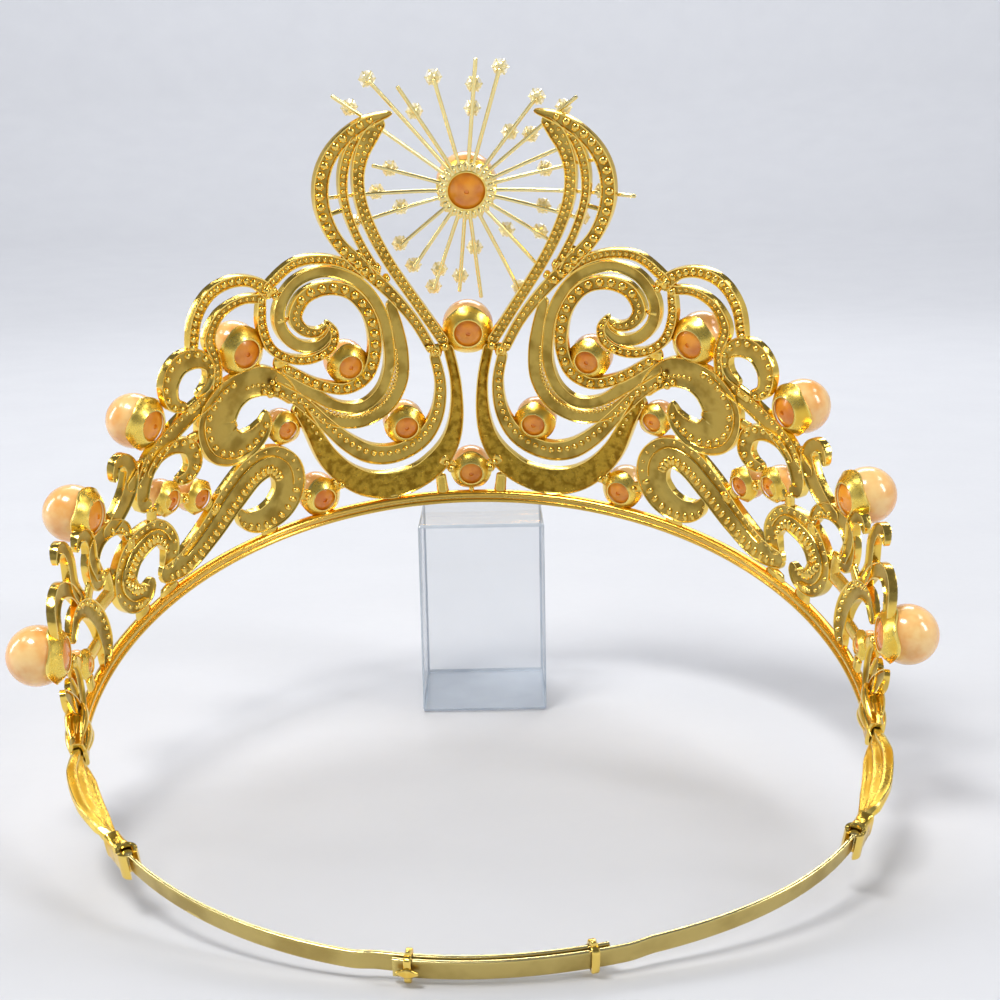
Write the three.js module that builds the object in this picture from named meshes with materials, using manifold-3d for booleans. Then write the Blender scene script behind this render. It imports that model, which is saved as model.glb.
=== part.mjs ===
// Pageant crown of gilt openwork with pearls and a spray of rhinestones, on a clear display block.
// The crown's ring lies tilted, as it stands by itself: its strap on the floor, its front on the block.

import * as THREE from 'three';
import { mergeVertices } from 'three/addons/utils/BufferGeometryUtils.js';
import Module from 'manifold-3d';

const wasm = await Module();
wasm.setup();

// Driving dimensions in millimetres and degrees

// Ring: two half ellipses, the front one longer
const RING_HALF_WIDTH = 77.8;
const RING_FRONT_REACH = 84;
const RING_BACK_REACH = 69;
const REST_TILT = 17.65;
const SIDE_FLARE = 6;

// Openwork: charted on a drawing grid that covers half of the front, from the middle to the side
const GRID_COLUMNS = 127;
const GRID_ROWS = 100;
const LACE_HEIGHT = 100;
const LACE_THICKNESS = 1.8;
const RIBBON_WIDTH = 2.5;
const GROOVE_DEPTH = 0.6;
const BAND_HEIGHT = 3.2;
const BAND_THICKNESS = 2.4;
const BAND_PAST_SIDE = 6.5;

// Pearls and the cups that hold them from behind
const PEARL_SIZES = { great: 14, large: 12, medium: 10, small: 8, seed: 6 };
const CUP_WALL = 0.4;
const CUP_HOLE_ANGLE = 36;
const CUP_RIM_ANGLE = 60;
const CUP_STANDS_PROUD = 0.3;
const PEARL_SIDES = 10;
const PEARL_RING_ANGLES = [36, 72, 108, 144];

// Spray of wires and rhinestones behind the horns
const WIRE_DIAMETER = 0.9;
const WIRE_SWELL = 1.2;
const WIRE_STEP = 13;
const SPRAY_CLEARANCE = 0.8;
const HUB_RING_WIDTH = 2;
const STONE_DIAMETER = 3.7;
const STONE_TABLE_DIAMETER = 2;
const STONE_DEPTH = 2;
const STONE_SIDES = 6;

// Strap of two strips, its crimped collars, the leaf links and their clips. The lap lies a little
// to the right. On the right the link is swung out in its clip, so that the strap bulges there.
const STRIP_HEIGHT = 3.8;
const STRIP_THICKNESS = 0.8;
const STRIP_OVERLAP = 34;
const LAP_SHIFT = 2.6;
const COLLAR_SPACING = 29;
const COLLAR_LENGTH = 1.2;
const COLLAR_WALL = 0.5;
const LINK_LENGTH = 33.5;
const RIGHT_SWING = 5;
const LINK_HEIGHT = 7.6;
const LINK_THICKNESS = 2.6;
const LINK_LEAN = 38;
const TONGUE_HEIGHT = 3.6;
const TONGUE_THICKNESS = 1.2;
const TONGUE_LENGTH = 3;
const CLIP_WALL = 0.7;
const EYE_DIAMETER = 1.8;

// Clear block
const BLOCK_WIDTH = 30;
const BLOCK_OFFSET = 2.3;
const BLOCK_SETBACK = 3.5;
const BLOCK_TURN = 1;

// Gap between pieces that touch, and how near a plane a joint's corners may lie to be dropped
const GAP = 0.3;
const JOINT_FLATNESS = 0.05;

// Sizes that follow from the ones above
const radians = THREE.MathUtils.degToRad;
const frontLine = new THREE.EllipseCurve(
  0, 0, RING_HALF_WIDTH, RING_FRONT_REACH, Math.PI / 2, 0, true);
const backLine = new THREE.EllipseCurve(
  0, 0, RING_HALF_WIDTH, RING_BACK_REACH, 0, -Math.PI / 2, true);
frontLine.arcLengthDivisions = 400;
backLine.arcLengthDivisions = 400;
const frontLength = frontLine.getLength();
const halfRing = frontLength + backLine.getLength();
const columnWidth = frontLength / GRID_COLUMNS;
const rowHeight = LACE_HEIGHT / GRID_ROWS;
const ringMiddle = BAND_HEIGHT / 2;
const clipDepth = TONGUE_LENGTH * 2 + GAP * 2;
const clipInside = { height: TONGUE_HEIGHT + 2 * GAP, thickness: TONGUE_THICKNESS + 2 * GAP };
const clipStart = frontLength + BAND_PAST_SIDE + GAP;
const linkStart = clipStart + clipDepth - TONGUE_LENGTH;
const rearClipStart = linkStart + LINK_LENGTH - TONGUE_LENGTH;
const eyeRadius = EYE_DIAMETER / 2;
const curlInside = eyeRadius + GAP;
const curlOutside = curlInside + CLIP_WALL;
const eyePlace = rearClipStart + clipDepth / 2 + curlInside + GAP + CLIP_WALL;
const lapOutward = (STRIP_THICKNESS + GAP) / 2;
const sprayOutward = LACE_THICKNESS / 2 + SPRAY_CLEARANCE + WIRE_DIAMETER / 2;

// Shared shapes

// A point of the crown: along the ring from the front middle, up from its foot, and outward from its line.
// Past half the ring the line comes back on the other side, and a negative length is the left side.
function ringPoint(along, height, outward) {
  const side = along < 0 ? -1 : 1;
  const run = Math.abs(along);
  const folded = run > halfRing ? 2 * halfRing - run : run;
  const crossed = run > halfRing ? -1 : 1;
  const line = folded <= frontLength ? frontLine : backLine;
  const share = folded <= frontLength ? folded / frontLength : (folded - frontLength) / (halfRing - frontLength);
  const foot = line.getPointAt(share);
  const ahead = line.getTangentAt(share);
  const lean = Math.tan(radians(SIDE_FLARE)) * (foot.x / RING_HALF_WIDTH) ** 2 * height;
  const shift = outward + lean;
  const swings = line === backLine && side * crossed > 0;
  const swing = swings ? RIGHT_SWING * (1 - Math.cos(2 * Math.PI * share)) / 2 : 0;
  return new THREE.Vector3(side * crossed * (foot.x + swing - ahead.y * shift), foot.y + ahead.x * shift, height);
}

const squareSection = [[-1, -1], [1, -1], [1, 1], [-1, 1]];

// A closed solid through rings of points, with both ends capped
function loft(rings, section) {
  const size = section.length;
  const cap = THREE.ShapeUtils.triangulateShape(section.map(([x, y]) => new THREE.Vector2(x, y)), []);
  const index = [];
  for (let r = 0; r + 1 < rings.length; r++) {
    for (let k = 0; k < size; k++) {
      const a = r * size + k;
      const b = r * size + (k + 1) % size;
      index.push(a, b, a + size, b, b + size, a + size);
    }
  }
  const last = (rings.length - 1) * size;
  cap.forEach(([a, b, c]) => index.push(c, b, a, last + a, last + b, last + c));
  const geometry = new THREE.BufferGeometry();
  geometry.setAttribute('position', new THREE.Float32BufferAttribute(rings.flat().flatMap(p => p.toArray()), 3));
  geometry.setIndex(index);
  return geometry;
}

function toSolid(geometry) {
  const bare = geometry.clone();
  bare.deleteAttribute('normal');
  bare.deleteAttribute('uv');
  const merged = mergeVertices(bare, 1e-4);
  const solidOf = order => new wasm.Manifold(new wasm.Mesh({
    numProp: 3,
    vertProperties: new Float32Array(merged.attributes.position.array),
    triVerts: new Uint32Array(order),
  }));
  const order = Array.from(merged.index.array);
  const solid = solidOf(order);
  return solid.volume() > 0 ? solid : solidOf(order.reverse());
}

function toGeometry(solid) {
  const mesh = solid.getMesh();
  const geometry = new THREE.BufferGeometry();
  geometry.setAttribute('position', new THREE.Float32BufferAttribute(mesh.vertProperties, 3));
  geometry.setIndex(Array.from(mesh.triVerts));
  return geometry;
}

const joinAll = solids => solids.reduce((whole, solid) => whole.add(solid));

const mirrored = solid => solid.mirror([1, 0, 0]);

// A ribbon of the openwork drawing before it is bent: along, up and outward are its axes.
// Stations are [column, row, width share]; from and to say how deep it lies, inside to outside.
function ribbon(stations, { slim = 1, from = -LACE_THICKNESS / 2, to = LACE_THICKNESS / 2 } = {}) {
  const path = new THREE.CatmullRomCurve3(stations.map(([column, row, width]) =>
    new THREE.Vector3(column * columnWidth, row * rowHeight, width * RIBBON_WIDTH)), false, 'centripetal');
  const count = stations.length - 1;
  const rings = [];
  for (let i = 0; i <= count; i++) {
    const at = path.getPoint(i / count);
    const ahead = path.getTangent(i / count);
    const turn = Math.atan2(ahead.y, ahead.x);
    const half = at.z * slim / 2;
    rings.push([[-half, from], [half, from], [half, to], [-half, to]].map(([across, depth]) =>
      new THREE.Vector3(at.x - Math.sin(turn) * across, at.y + Math.cos(turn) * across, depth)));
  }
  return toSolid(loft(rings, squareSection));
}

// Bends a flat solid onto the crown's surface
function bent(solid) {
  const geometry = toGeometry(solid);
  const { position } = geometry.attributes;
  for (let i = 0; i < position.count; i++) {
    position.setXYZ(i, ...ringPoint(position.getX(i), position.getY(i), position.getZ(i)).toArray());
  }
  return toSolid(geometry);
}

// A bar that follows the ring: stations of [along, half height, half thickness], one section outline in shares
function ringBar(stations, section, middleHeight, middleOutward = 0) {
  const rings = stations.map(([along, halfHeight, halfThickness]) => section.map(([up, out]) =>
    ringPoint(along, middleHeight + up * halfHeight, middleOutward + out * halfThickness)));
  return toSolid(loft(rings, section));
}

// Even steps from one place on the ring to another, each with the same half sizes
function evenStations(from, to, count, halfHeight, halfThickness) {
  return Array.from({ length: count + 1 }, (_, i) => [from + (to - from) * i / count, halfHeight, halfThickness]);
}

// A turned solid whose axis points outward from the crown's surface at a place on it
function seated(geometry, along, height, outward) {
  const foot = ringPoint(along, height, outward);
  const normal = ringPoint(along, height, outward + 1).sub(foot);
  const turn = new THREE.Quaternion().setFromUnitVectors(new THREE.Vector3(0, 1, 0), normal.normalize());
  return geometry.clone().applyQuaternion(turn).translate(...foot.toArray());
}

// Turned profiles run from the back pole, at angle 0, towards the front
const onArc = (radius, angle) =>
  new THREE.Vector2(radius * Math.sin(radians(angle)), -radius * Math.cos(radians(angle)));

function ball(radius, sides = PEARL_SIDES) {
  const profile = [new THREE.Vector2(0, -radius), ...PEARL_RING_ANGLES.map(angle => onArc(radius, angle)),
    new THREE.Vector2(0, radius)];
  return new THREE.LatheGeometry(profile, sides);
}

function cupBlank(radius, sides = PEARL_SIDES) {
  const back = onArc(radius, CUP_HOLE_ANGLE);
  const rim = onArc(radius, CUP_RIM_ANGLE);
  const profile = [new THREE.Vector2(0, back.y), back, rim, new THREE.Vector2(0, rim.y)];
  return new THREE.LatheGeometry(profile, sides);
}

// Openwork drawing, right half: each station is [column, row, width share]

const plainRibbons = {
  bowl: [[8.2, 41, 1], [6.9, 33, 1.15], [8, 25, 1.4], [11, 19.6, 1.7], [15, 16.7, 1.9],
    [20, 15.5, 2], [25, 16.7, 2], [30, 20.5, 1.8], [35.5, 27, 1.4], [41, 34, 1.3], [46, 39, 1.4]],
  voluteBeaded: [[44.5, 43.5, 1], [36, 37, 1.1], [29.5, 34.8, 1.2], [24.8, 36.8, 1.3], [22.4, 42, 1.3],
    [22.2, 48.5, 1.3], [23.8, 54, 1.3], [27.6, 58.6, 1.3], [33, 60.2, 1.35], [38, 58.8, 1.4],
    [40.4, 54.6, 1.3], [38.6, 51.2, 1.1], [35.4, 50, 0.9], [32.8, 51.4, 0.4]],
  volutePlain: [[46, 42.5, 1.6], [38, 35.4, 1.3], [31.5, 30.4, 1.1], [26, 29.4, 1.1], [21.4, 32.6, 1.1],
    [19, 38.5, 1.1], [18.9, 45.5, 1.1], [20, 52, 1.1], [23.2, 58.3, 1.1], [27.4, 62.1, 1.1], [33, 64.2, 1.05],
    [39.6, 62.8, 1.05], [43.8, 57.6, 1.1], [43.8, 52.4, 1.15], [40.4, 48, 1.2], [36, 46.8, 1], [33, 48.6, 0.7],
    [32, 51, 0.3]],
  voluteOuter: [[39, 32.8, 1.1], [35.5, 29, 1.2], [31.5, 26.5, 1.25], [26, 25.7, 1.3], [20, 28.4, 1.35],
    [16.4, 34.3, 1.3], [15.8, 41.5, 1.3], [16.6, 48, 1.2], [18, 55, 0.9]],
  link: [[33.2, 52.3, 0.5], [31.5, 49.4, 0.8], [32.4, 45.8, 0.95], [37.2, 43.9, 0.95], [42.6, 45.1, 0.9],
    [46.8, 48.8, 0.9], [48.4, 54.6, 0.9], [47.6, 61.5, 0.8]],
  topArcInner: [[22.5, 61.5, 0.9], [27.4, 65, 0.9], [33.5, 67.2, 0.9], [39.6, 67.1, 0.9], [46.8, 62.6, 0.9]],
  topArcOuter: [[45.5, 60.5, 1.2], [46.8, 63, 1.3], [50, 65.4, 1.05], [54.5, 66.3, 1.05], [59.6, 65, 1.05],
    [63.8, 60.6, 1.05], [66, 53.5, 1.05]],
  crestArc: [[46.5, 60.6, 1], [52.5, 61.6, 0.8], [58.3, 59.6, 0.9], [61.4, 55, 1.1], [60.4, 49.5, 0.9],
    [61.5, 42.5, 1]],
  diagonal: [[61.5, 42.6, 1.6], [72, 39, 1.6], [82, 34.4, 1.8], [85.8, 30.2, 1.8], [86.8, 26.6, 1.5],
    [84.2, 25.3, 1]],
  scroll: [[83.5, 31.5, 0.8], [79.5, 34.3, 1], [74.6, 34.7, 1.3], [70.8, 32.8, 1.7], [70.2, 29, 1.7],
    [72.4, 26.8, 1.4], [76, 26.6, 0.8]],
  hook: [[101, 26.6, 1.2], [94.6, 28.6, 1.6], [89.8, 32, 1.8], [88, 36, 1.5], [89.6, 38.6, 1.2], [92, 38.4, 1],
    [93.4, 35.3, 0.8]],
  hookStem: [[83.5, 35, 1.2], [90, 31.5, 1.2]],
  sideLoop: [[92.8, 21.4, 1], [94.3, 25, 1.3], [98.5, 27.3, 1.5], [103.5, 27.2, 1.7], [107.3, 24.5, 1.9],
    [107.6, 20.5, 1.8], [104.5, 18.6, 1.2]],
  fin: [[105.5, 19.5, 1.3], [107, 24.5, 1.4], [106.2, 28.6, 1.3], [107.4, 31, 1.1], [109.6, 31.4, 0.9],
    [111.4, 29.4, 0.6]],
  tallFin: [[114, 19, 1.4], [116.4, 24.4, 1.4], [115.2, 30.4, 1.3], [116.4, 33.6, 1.1], [118.4, 34.2, 0.9],
    [120.4, 32.2, 0.6]],
  endLoop: [[115.6, 20, 1], [118.4, 25, 1.2], [123, 27.6, 1.4], [127.4, 26, 1.4], [129.6, 21, 1.2]],
  petalFront: [[131.4, 2.6, 0.8], [128.8, 5.4, 1.5], [126.8, 9.6, 1.5], [126.2, 14, 0.8]],
  petalMiddle: [[131.8, 2.6, 0.8], [131.4, 7, 1.8], [131, 13, 1.2]],
  petalRear: [[131.6, 2.6, 0.8], [132.2, 7, 1.3], [135, 10.4, 1.6], [137.2, 14.4, 0.8]],
  hornInner: [[5.4, 43.2, 1.1], [10.6, 52, 1.05], [17.7, 64.2, 1.05], [21.4, 72.4, 1.1], [23.4, 79.4, 1.1],
    [23.6, 85.4, 1.15], [22.4, 90, 1.35], [20.4, 93.6, 1.5], [17.4, 96.8, 0.9]],
  hornMiddle: [[20.2, 61.6, 0.8], [24.8, 71.4, 0.8], [27, 79.6, 0.8], [26.9, 85.6, 0.9], [25.6, 90, 0.9],
    [23.4, 93.8, 0.8]],
  hornOuter: [[8.3, 41.2, 1], [12.2, 49, 1], [17.2, 56.2, 1.15], [24.6, 64.8, 1.3], [29.6, 71.4, 1.25],
    [32, 78.6, 1.35], [31.7, 85, 1.35], [29.6, 89.8, 1.3], [26, 93.6, 1.25], [21.4, 96.4, 1.1], [15.4, 98.2, 0.4]],
};

const broadRibbons = {
  leaf: [[4.9, 43, 1], [3.2, 33, 1.1], [3.4, 23.4, 1.5], [5, 17.3, 1.9], [8.3, 12.2, 2.4], [13, 8.6, 2.6],
    [19.3, 7, 2.9], [25.5, 8.3, 2.7], [30.8, 12, 2.4], [35.4, 18, 2.1], [39.2, 27, 1.5], [42, 33.5, 1.3]],
  leafVolute: [[42.3, 34.5, 1.2], [45.6, 39, 2.2], [50, 41.7, 2.9], [54.6, 41.8, 3], [59.4, 39.8, 3.6],
    [62.8, 35.4, 4.2], [62, 30.4, 4.1], [58, 27.7, 3.2], [53.6, 28.5, 2.4], [50.6, 31, 1.6], [49.6, 34.2, 0.5]],
  tail: [[60.4, 12.6, 0.6], [58.6, 9.2, 1.8], [54.4, 7.5, 2.6], [49.4, 8.8, 3.2], [46.2, 13, 3.3],
    [46.4, 18, 3.3], [49.8, 21.3, 3.1], [54.6, 20.8, 3.2], [61.6, 16.4, 3.3], [69, 11.2, 3], [77.6, 7.6, 2.6],
    [86, 8, 1.6]],
  crestCurl: [[69.6, 41.9, 0.9], [73, 44.3, 1.4], [73, 48.8, 1.9], [69.8, 52, 2], [65.4, 52, 1.8],
    [62.4, 49, 1.1], [63.2, 45.7, 0.9], [66.4, 43.2, 0.8]],
  sideVolute: [[83.6, 8.6, 1.4], [81.2, 13.6, 2], [83.8, 18.2, 2.3], [89, 19, 2.7], [94.6, 17.6, 3.1],
    [98.4, 13.4, 3.4], [96.4, 9, 2.8], [91.6, 7.4, 1.8], [88.4, 9.2, 1]],
  endLeaf: [[113.2, 2.6, 0.9], [110.4, 7, 2], [110.8, 13, 2.1], [114.2, 18, 1.7], [119.4, 19.4, 1.3],
    [124, 16.4, 1.2]],
};

// Solder joints: short bars of [column, row, width share] between neighbours
const solderJoints = [
  [[19.4, 2.6, 1.2], [19.4, 4.6, 1.6]],
  [[4, 9.6, 1.2], [7.4, 13, 1.2]],
  [[7, 2.6, 1.2], [7.6, 8.5, 1]],
  [[32.4, 10.4, 1.2], [35.2, 8.4, 1.2]],
  [[39.2, 8.6, 1.2], [44, 10.2, 1.2]],
  [[37.3, 2.4, 1.8], [37.3, 3.6, 1.4]],
  [[52.4, 2.6, 2], [52.4, 5.4, 1.6]],
  [[84, 2.6, 3], [84, 5.2, 2]],
  [[94, 2.6, 2.4], [94, 7, 1.8]],
  [[120.6, 2.6, 1.6], [120.6, 6, 1.2]],
  [[112, 8.6, 1.4], [119, 8.8, 1.4]],
  [[121.4, 9.6, 1.2], [125.6, 13.6, 1.2]],
  [[6.2, 41.6, 1.4], [9.2, 41.2, 1.4]],
  [[27, 77.6, 0.4], [30.8, 76.8, 0.4]],
  [[43, 44.4, 1], [46.6, 44.6, 1.4]],
  [[42, 54.4, 0.6], [45, 54.6, 0.6]],
  [[43.6, 61.2, 0.9], [46.6, 62, 1.2]],
  [[67.4, 34.6, 1], [70.8, 34, 1.2]],
  [[65.4, 14.2, 1.4], [68.8, 18.2, 1.4]],
  [[73, 21, 1], [76, 22.6, 1]],
  [[65.6, 42, 1.2], [69.6, 40.8, 1.2]],
  [[79.8, 25.2, 1], [82.8, 21.6, 1.4]],
  [[84, 24.4, 1.2], [85, 20.6, 1.2]],
  [[93, 22, 1.6], [93, 18.6, 1.6]],
  [[103.4, 20, 1.6], [103, 14, 1.6]],
  [[102, 14.6, 1.6], [110.4, 14.6, 1.6]],
  [[109, 21, 1], [113, 18, 1.4]],
];

// Cups and pearls of the right half, and those on the middle line: lift is how far out the cup's back stands
const pairedPearls = {
  crest: { column: 53.2, row: 49.4, size: 'large', lift: 0 },
  volute: { column: 28.4, row: 40.2, size: 'medium', lift: 0 },
  bowl: { column: 15.6, row: 22.4, size: 'medium', lift: 0 },
  leaf: { column: 45.2, row: 28, size: 'small', lift: 0 },
  base: { column: 37.6, row: 7.4, size: 'medium', lift: 0 },
  tail_large: { column: 70.2, row: 20, size: 'small', lift: 0 },
  tail_small: { column: 78.6, row: 23.6, size: 'small', lift: 0 },
  shoulder: { column: 79.4, row: 41.8, size: 'large', lift: 0.6 },
  side: { column: 102, row: 32.2, size: 'large', lift: 0.6 },
  end: { column: 129.2, row: 17.6, size: 'large', lift: 0.6 },
  end_small: { column: 120.6, row: 8.8, size: 'seed', lift: 0 },
};
const middlePearls = {
  upper: { column: 0, row: 46, size: 'large', lift: 0 },
  lower: { column: 0, row: 8.6, size: 'medium', lift: 0 },
};
const hub = { column: 0.4, row: 79.4, size: 'great' };

// Spray drawing: each wire is [column, row of its end, then the share of its length at each stone]
const wires = [
  [-27.5, 102.2, 0.86], [-19.6, 104.8, 1], [-13.7, 103.2, 0.75], [-6, 104.5, 1], [2.9, 108.7, 0.62, 0.8],
  [7.9, 106.5, 1], [15.5, 100.2, 0.62, 1], [24.1, 100.9, 0.58, 0.87], [20.9, 89.5], [29.5, 87.7, 0.58],
  [37.3, 80, 0.79], [25.3, 73.6, 0.66, 0.84, 1], [19.9, 67.2, 0.81], [16.6, 61.2, 0.53], [12.3, 54.6, 0.95],
  [3.2, 53.6, 0.54], [-1.7, 55.2, 0.86], [-7.4, 56.2, 0.82, 1], [-11.7, 61.7, 1], [-14.4, 67.2, 1],
  [-24.2, 73.2, 0.58, 1], [-31.3, 80, 0.61], [-19.9, 86.2, 0.8],
];

// Sub-parts

const pearlRadius = size => PEARL_SIZES[size] / 2;
const cupRadius = size => pearlRadius(size) + GAP + CUP_WALL;
const cupBackDepth = size => -onArc(cupRadius(size), CUP_HOLE_ANGLE).y;

// The pearl's centre on the crown: its cup's back stands proud of the ribbons' back, less the lift
function pearlSeat({ column, row, size, lift }) {
  return [column * columnWidth, row * rowHeight, cupBackDepth(size) - LACE_THICKNESS / 2 - CUP_STANDS_PROUD + lift];
}

const pearlSolid = pearl => toSolid(seated(ball(pearlRadius(pearl.size)), ...pearlSeat(pearl)));
const seatSolid = pearl => toSolid(seated(ball(pearlRadius(pearl.size) + GAP), ...pearlSeat(pearl)));
const cupSolid = pearl => toSolid(seated(cupBlank(cupRadius(pearl.size)), ...pearlSeat(pearl)));

// The two rails of the band with the groove between them, ending in tongues for the clips
function makeBand() {
  const end = frontLength + BAND_PAST_SIDE - TONGUE_LENGTH;
  const groove = 1 - 2 * GROOVE_DEPTH / BAND_THICKNESS;
  const section = [[-1, -1], [0, -groove], [1, -1], [1, 1], [0, groove], [-1, 1]];
  const rails = ringBar(evenStations(-end, end, 34, BAND_HEIGHT / 2, BAND_THICKNESS / 2), section, ringMiddle);
  const tongues = [-1, 1].map(side => ringBar(evenStations(side * (end - 1), side * (end + 2 * TONGUE_LENGTH), 3,
    TONGUE_HEIGHT / 2, TONGUE_THICKNESS / 2), squareSection, ringMiddle));
  return joinAll([rails, ...tongues]);
}

function makeOpenwork() {
  const valley = { slim: 0.5, from: -LACE_THICKNESS, to: GROOVE_DEPTH - LACE_THICKNESS / 2 };
  const half = joinAll([...Object.values(plainRibbons), ...Object.values(broadRibbons), ...solderJoints]
    .map(stations => ribbon(stations)));
  const valleys = joinAll(['leaf', 'leafVolute', 'tail', 'sideVolute']
    .map(name => ribbon(broadRibbons[name].slice(1, -1), valley)));
  const post = ribbon([[0, 2.6, 0.5], [0, 4.6, 0.5]]);
  const grooved = half.subtract(valleys);
  const flat = joinAll([grooved, mirrored(grooved), post]);
  const pearls = Object.values(pairedPearls).flatMap(pearl => [pearl, { ...pearl, column: -pearl.column }])
    .concat(Object.values(middlePearls));
  return joinAll([bent(flat), makeBand(), ...pearls.map(cupSolid)]).subtract(joinAll(pearls.map(seatSolid)))
    .simplify(JOINT_FLATNESS);
}

// A wire of the spray before it is bent: from the hub's rim to its end, stouter between
function makeWire([column, row]) {
  const start = new THREE.Vector2(hub.column, hub.row);
  const end = new THREE.Vector2(column, row);
  const first = (hubRim - WIRE_DIAMETER) / columnWidth / start.distanceTo(end);
  const width = WIRE_DIAMETER / RIBBON_WIDTH;
  const steps = Math.ceil(start.distanceTo(end) * columnWidth / WIRE_STEP);
  const stations = Array.from({ length: steps + 1 }, (_, i) =>
    [...start.clone().lerp(end, first + (1 - first) * i / steps).toArray(), width * (i % steps ? WIRE_SWELL : 1)]);
  return ribbon(stations, sprayDepth);
}

// The round stones of a wire: pointed back, girdle, crown facets and a table, each standing on the wire's face
function makeStones([column, row, ...shares]) {
  const profile = [
    new THREE.Vector2(0, 0), new THREE.Vector2(STONE_DIAMETER / 2, STONE_DEPTH * 0.6),
    new THREE.Vector2(STONE_TABLE_DIAMETER / 2, STONE_DEPTH), new THREE.Vector2(0, STONE_DEPTH)];
  const stone = new THREE.LatheGeometry(profile, STONE_SIDES);
  return shares.map(share => toSolid(seated(stone, THREE.MathUtils.lerp(hub.column, column, share) * columnWidth,
    THREE.MathUtils.lerp(hub.row, row, share) * rowHeight, sprayOutward + WIRE_DIAMETER / 4)));
}

const sprayDepth = { from: sprayOutward - WIRE_DIAMETER / 2, to: sprayOutward + WIRE_DIAMETER / 2 };
const hubSeat = [hub.column * columnWidth, hub.row * rowHeight,
  sprayDepth.from - CUP_STANDS_PROUD / 2 + cupBackDepth(hub.size)];
const hubRim = cupRadius(hub.size) * Math.sin(radians(CUP_HOLE_ANGLE)) + HUB_RING_WIDTH;

function makeSpray() {
  const ring = new THREE.CylinderGeometry(1, 1, WIRE_DIAMETER, 2 * PEARL_SIDES).rotateX(Math.PI / 2);
  const disc = toSolid(ring.scale(hubRim, hubRim, 1).translate(hubSeat[0], hubSeat[1], sprayOutward));
  const cup = toSolid(seated(cupBlank(cupRadius(hub.size)), ...hubSeat));
  const seat = toSolid(seated(ball(pearlRadius(hub.size) + GAP), ...hubSeat));
  const rays = bent(joinAll([disc, ...wires.map(makeWire)]));
  return joinAll([rays, cup, ...wires.flatMap(makeStones)]).subtract(seat).simplify(JOINT_FLATNESS);
}

// Leaf link: three flutes, swelling in the middle and thinned at both ends into tongues.
// Each row of the profile is [run, height, thickness, lean]: where it swells its top leans outward.
function makeLink(side) {
  const flutes = [[-1, -0.2], [-0.66, -1], [-0.33, -0.55], [0, -1], [0.33, -0.55], [0.66, -1],
    [1, -0.2], [1, 0.2], [0.66, 1], [0.33, 0.55], [0, 1], [-0.33, 0.55], [-0.66, 1], [-1, 0.2]];
  const tall = TONGUE_HEIGHT / LINK_HEIGHT;
  const thick = TONGUE_THICKNESS / LINK_THICKNESS;
  const profile = [[0, tall, thick, 0], [0.1, tall, thick, 0], [0.17, 0.7, 0.8, 0.5], [0.3, 0.94, 1, 1],
    [0.45, 1, 1, 1], [0.62, 1, 1, 1], [0.83, 0.76, 0.9, 0.6], [0.9, tall, thick, 0], [1, tall, thick, 0]];
  const rings = profile.map(([run, height, thickness, lean]) => flutes.map(([up, out]) => {
    const rise = up * height * LINK_HEIGHT / 2;
    const depth = out * thickness * LINK_THICKNESS / 2;
    const turn = radians(lean * LINK_LEAN);
    return ringPoint(side * (linkStart + run * LINK_LENGTH),
      ringMiddle + rise * Math.cos(turn) - depth * Math.sin(turn), rise * Math.sin(turn) + depth * Math.cos(turn));
  }));
  return toSolid(loft(rings, flutes));
}

// Front clip: a folded sleeve round the tongues of the band and of the link
function makeFrontClip(side) {
  const { height, thickness } = clipInside;
  const outer = ringBar(evenStations(side * clipStart, side * (clipStart + clipDepth), 2,
    height / 2 + CLIP_WALL, thickness / 2 + CLIP_WALL), squareSection, ringMiddle);
  const inner = ringBar(evenStations(side * (clipStart - GAP), side * (clipStart + clipDepth + GAP), 2,
    height / 2, thickness / 2), squareSection, ringMiddle);
  return outer.subtract(inner);
}

// A round bar that stands across the ring, square to the strap
function uprightBar(along, radius, height, sides) {
  const bar = new THREE.CylinderGeometry(radius, radius, height, sides).rotateX(Math.PI / 2);
  return toSolid(bar.translate(...ringPoint(along, ringMiddle, 0).toArray()));
}

// Rear clip: a sleeve for the link's tongue and a curl round the strap's eye
function makeRearClip(side) {
  const { height, thickness } = clipInside;
  const fullHeight = height + 2 * CLIP_WALL;
  const sleeve = ringBar(evenStations(side * (rearClipStart - GAP), side * (rearClipStart + clipDepth / 2 + CLIP_WALL),
    2, fullHeight / 2, thickness / 2 + CLIP_WALL), squareSection, ringMiddle);
  const pocket = ringBar(evenStations(side * (rearClipStart - 2 * GAP), side * (rearClipStart + TONGUE_LENGTH + GAP),
    2, height / 2, thickness / 2), squareSection, ringMiddle);
  const slot = ringBar(evenStations(side * eyePlace, side * (eyePlace + 2 * curlOutside), 2, STRIP_HEIGHT / 2 + GAP,
    STRIP_THICKNESS / 2 + GAP), squareSection, ringMiddle);
  const curl = uprightBar(side * eyePlace, curlOutside, fullHeight, 12);
  const eyeSpace = uprightBar(side * eyePlace, curlInside, fullHeight * 2, 12);
  return joinAll([sleeve, curl]).subtract(joinAll([pocket, eyeSpace, slot]));
}

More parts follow.
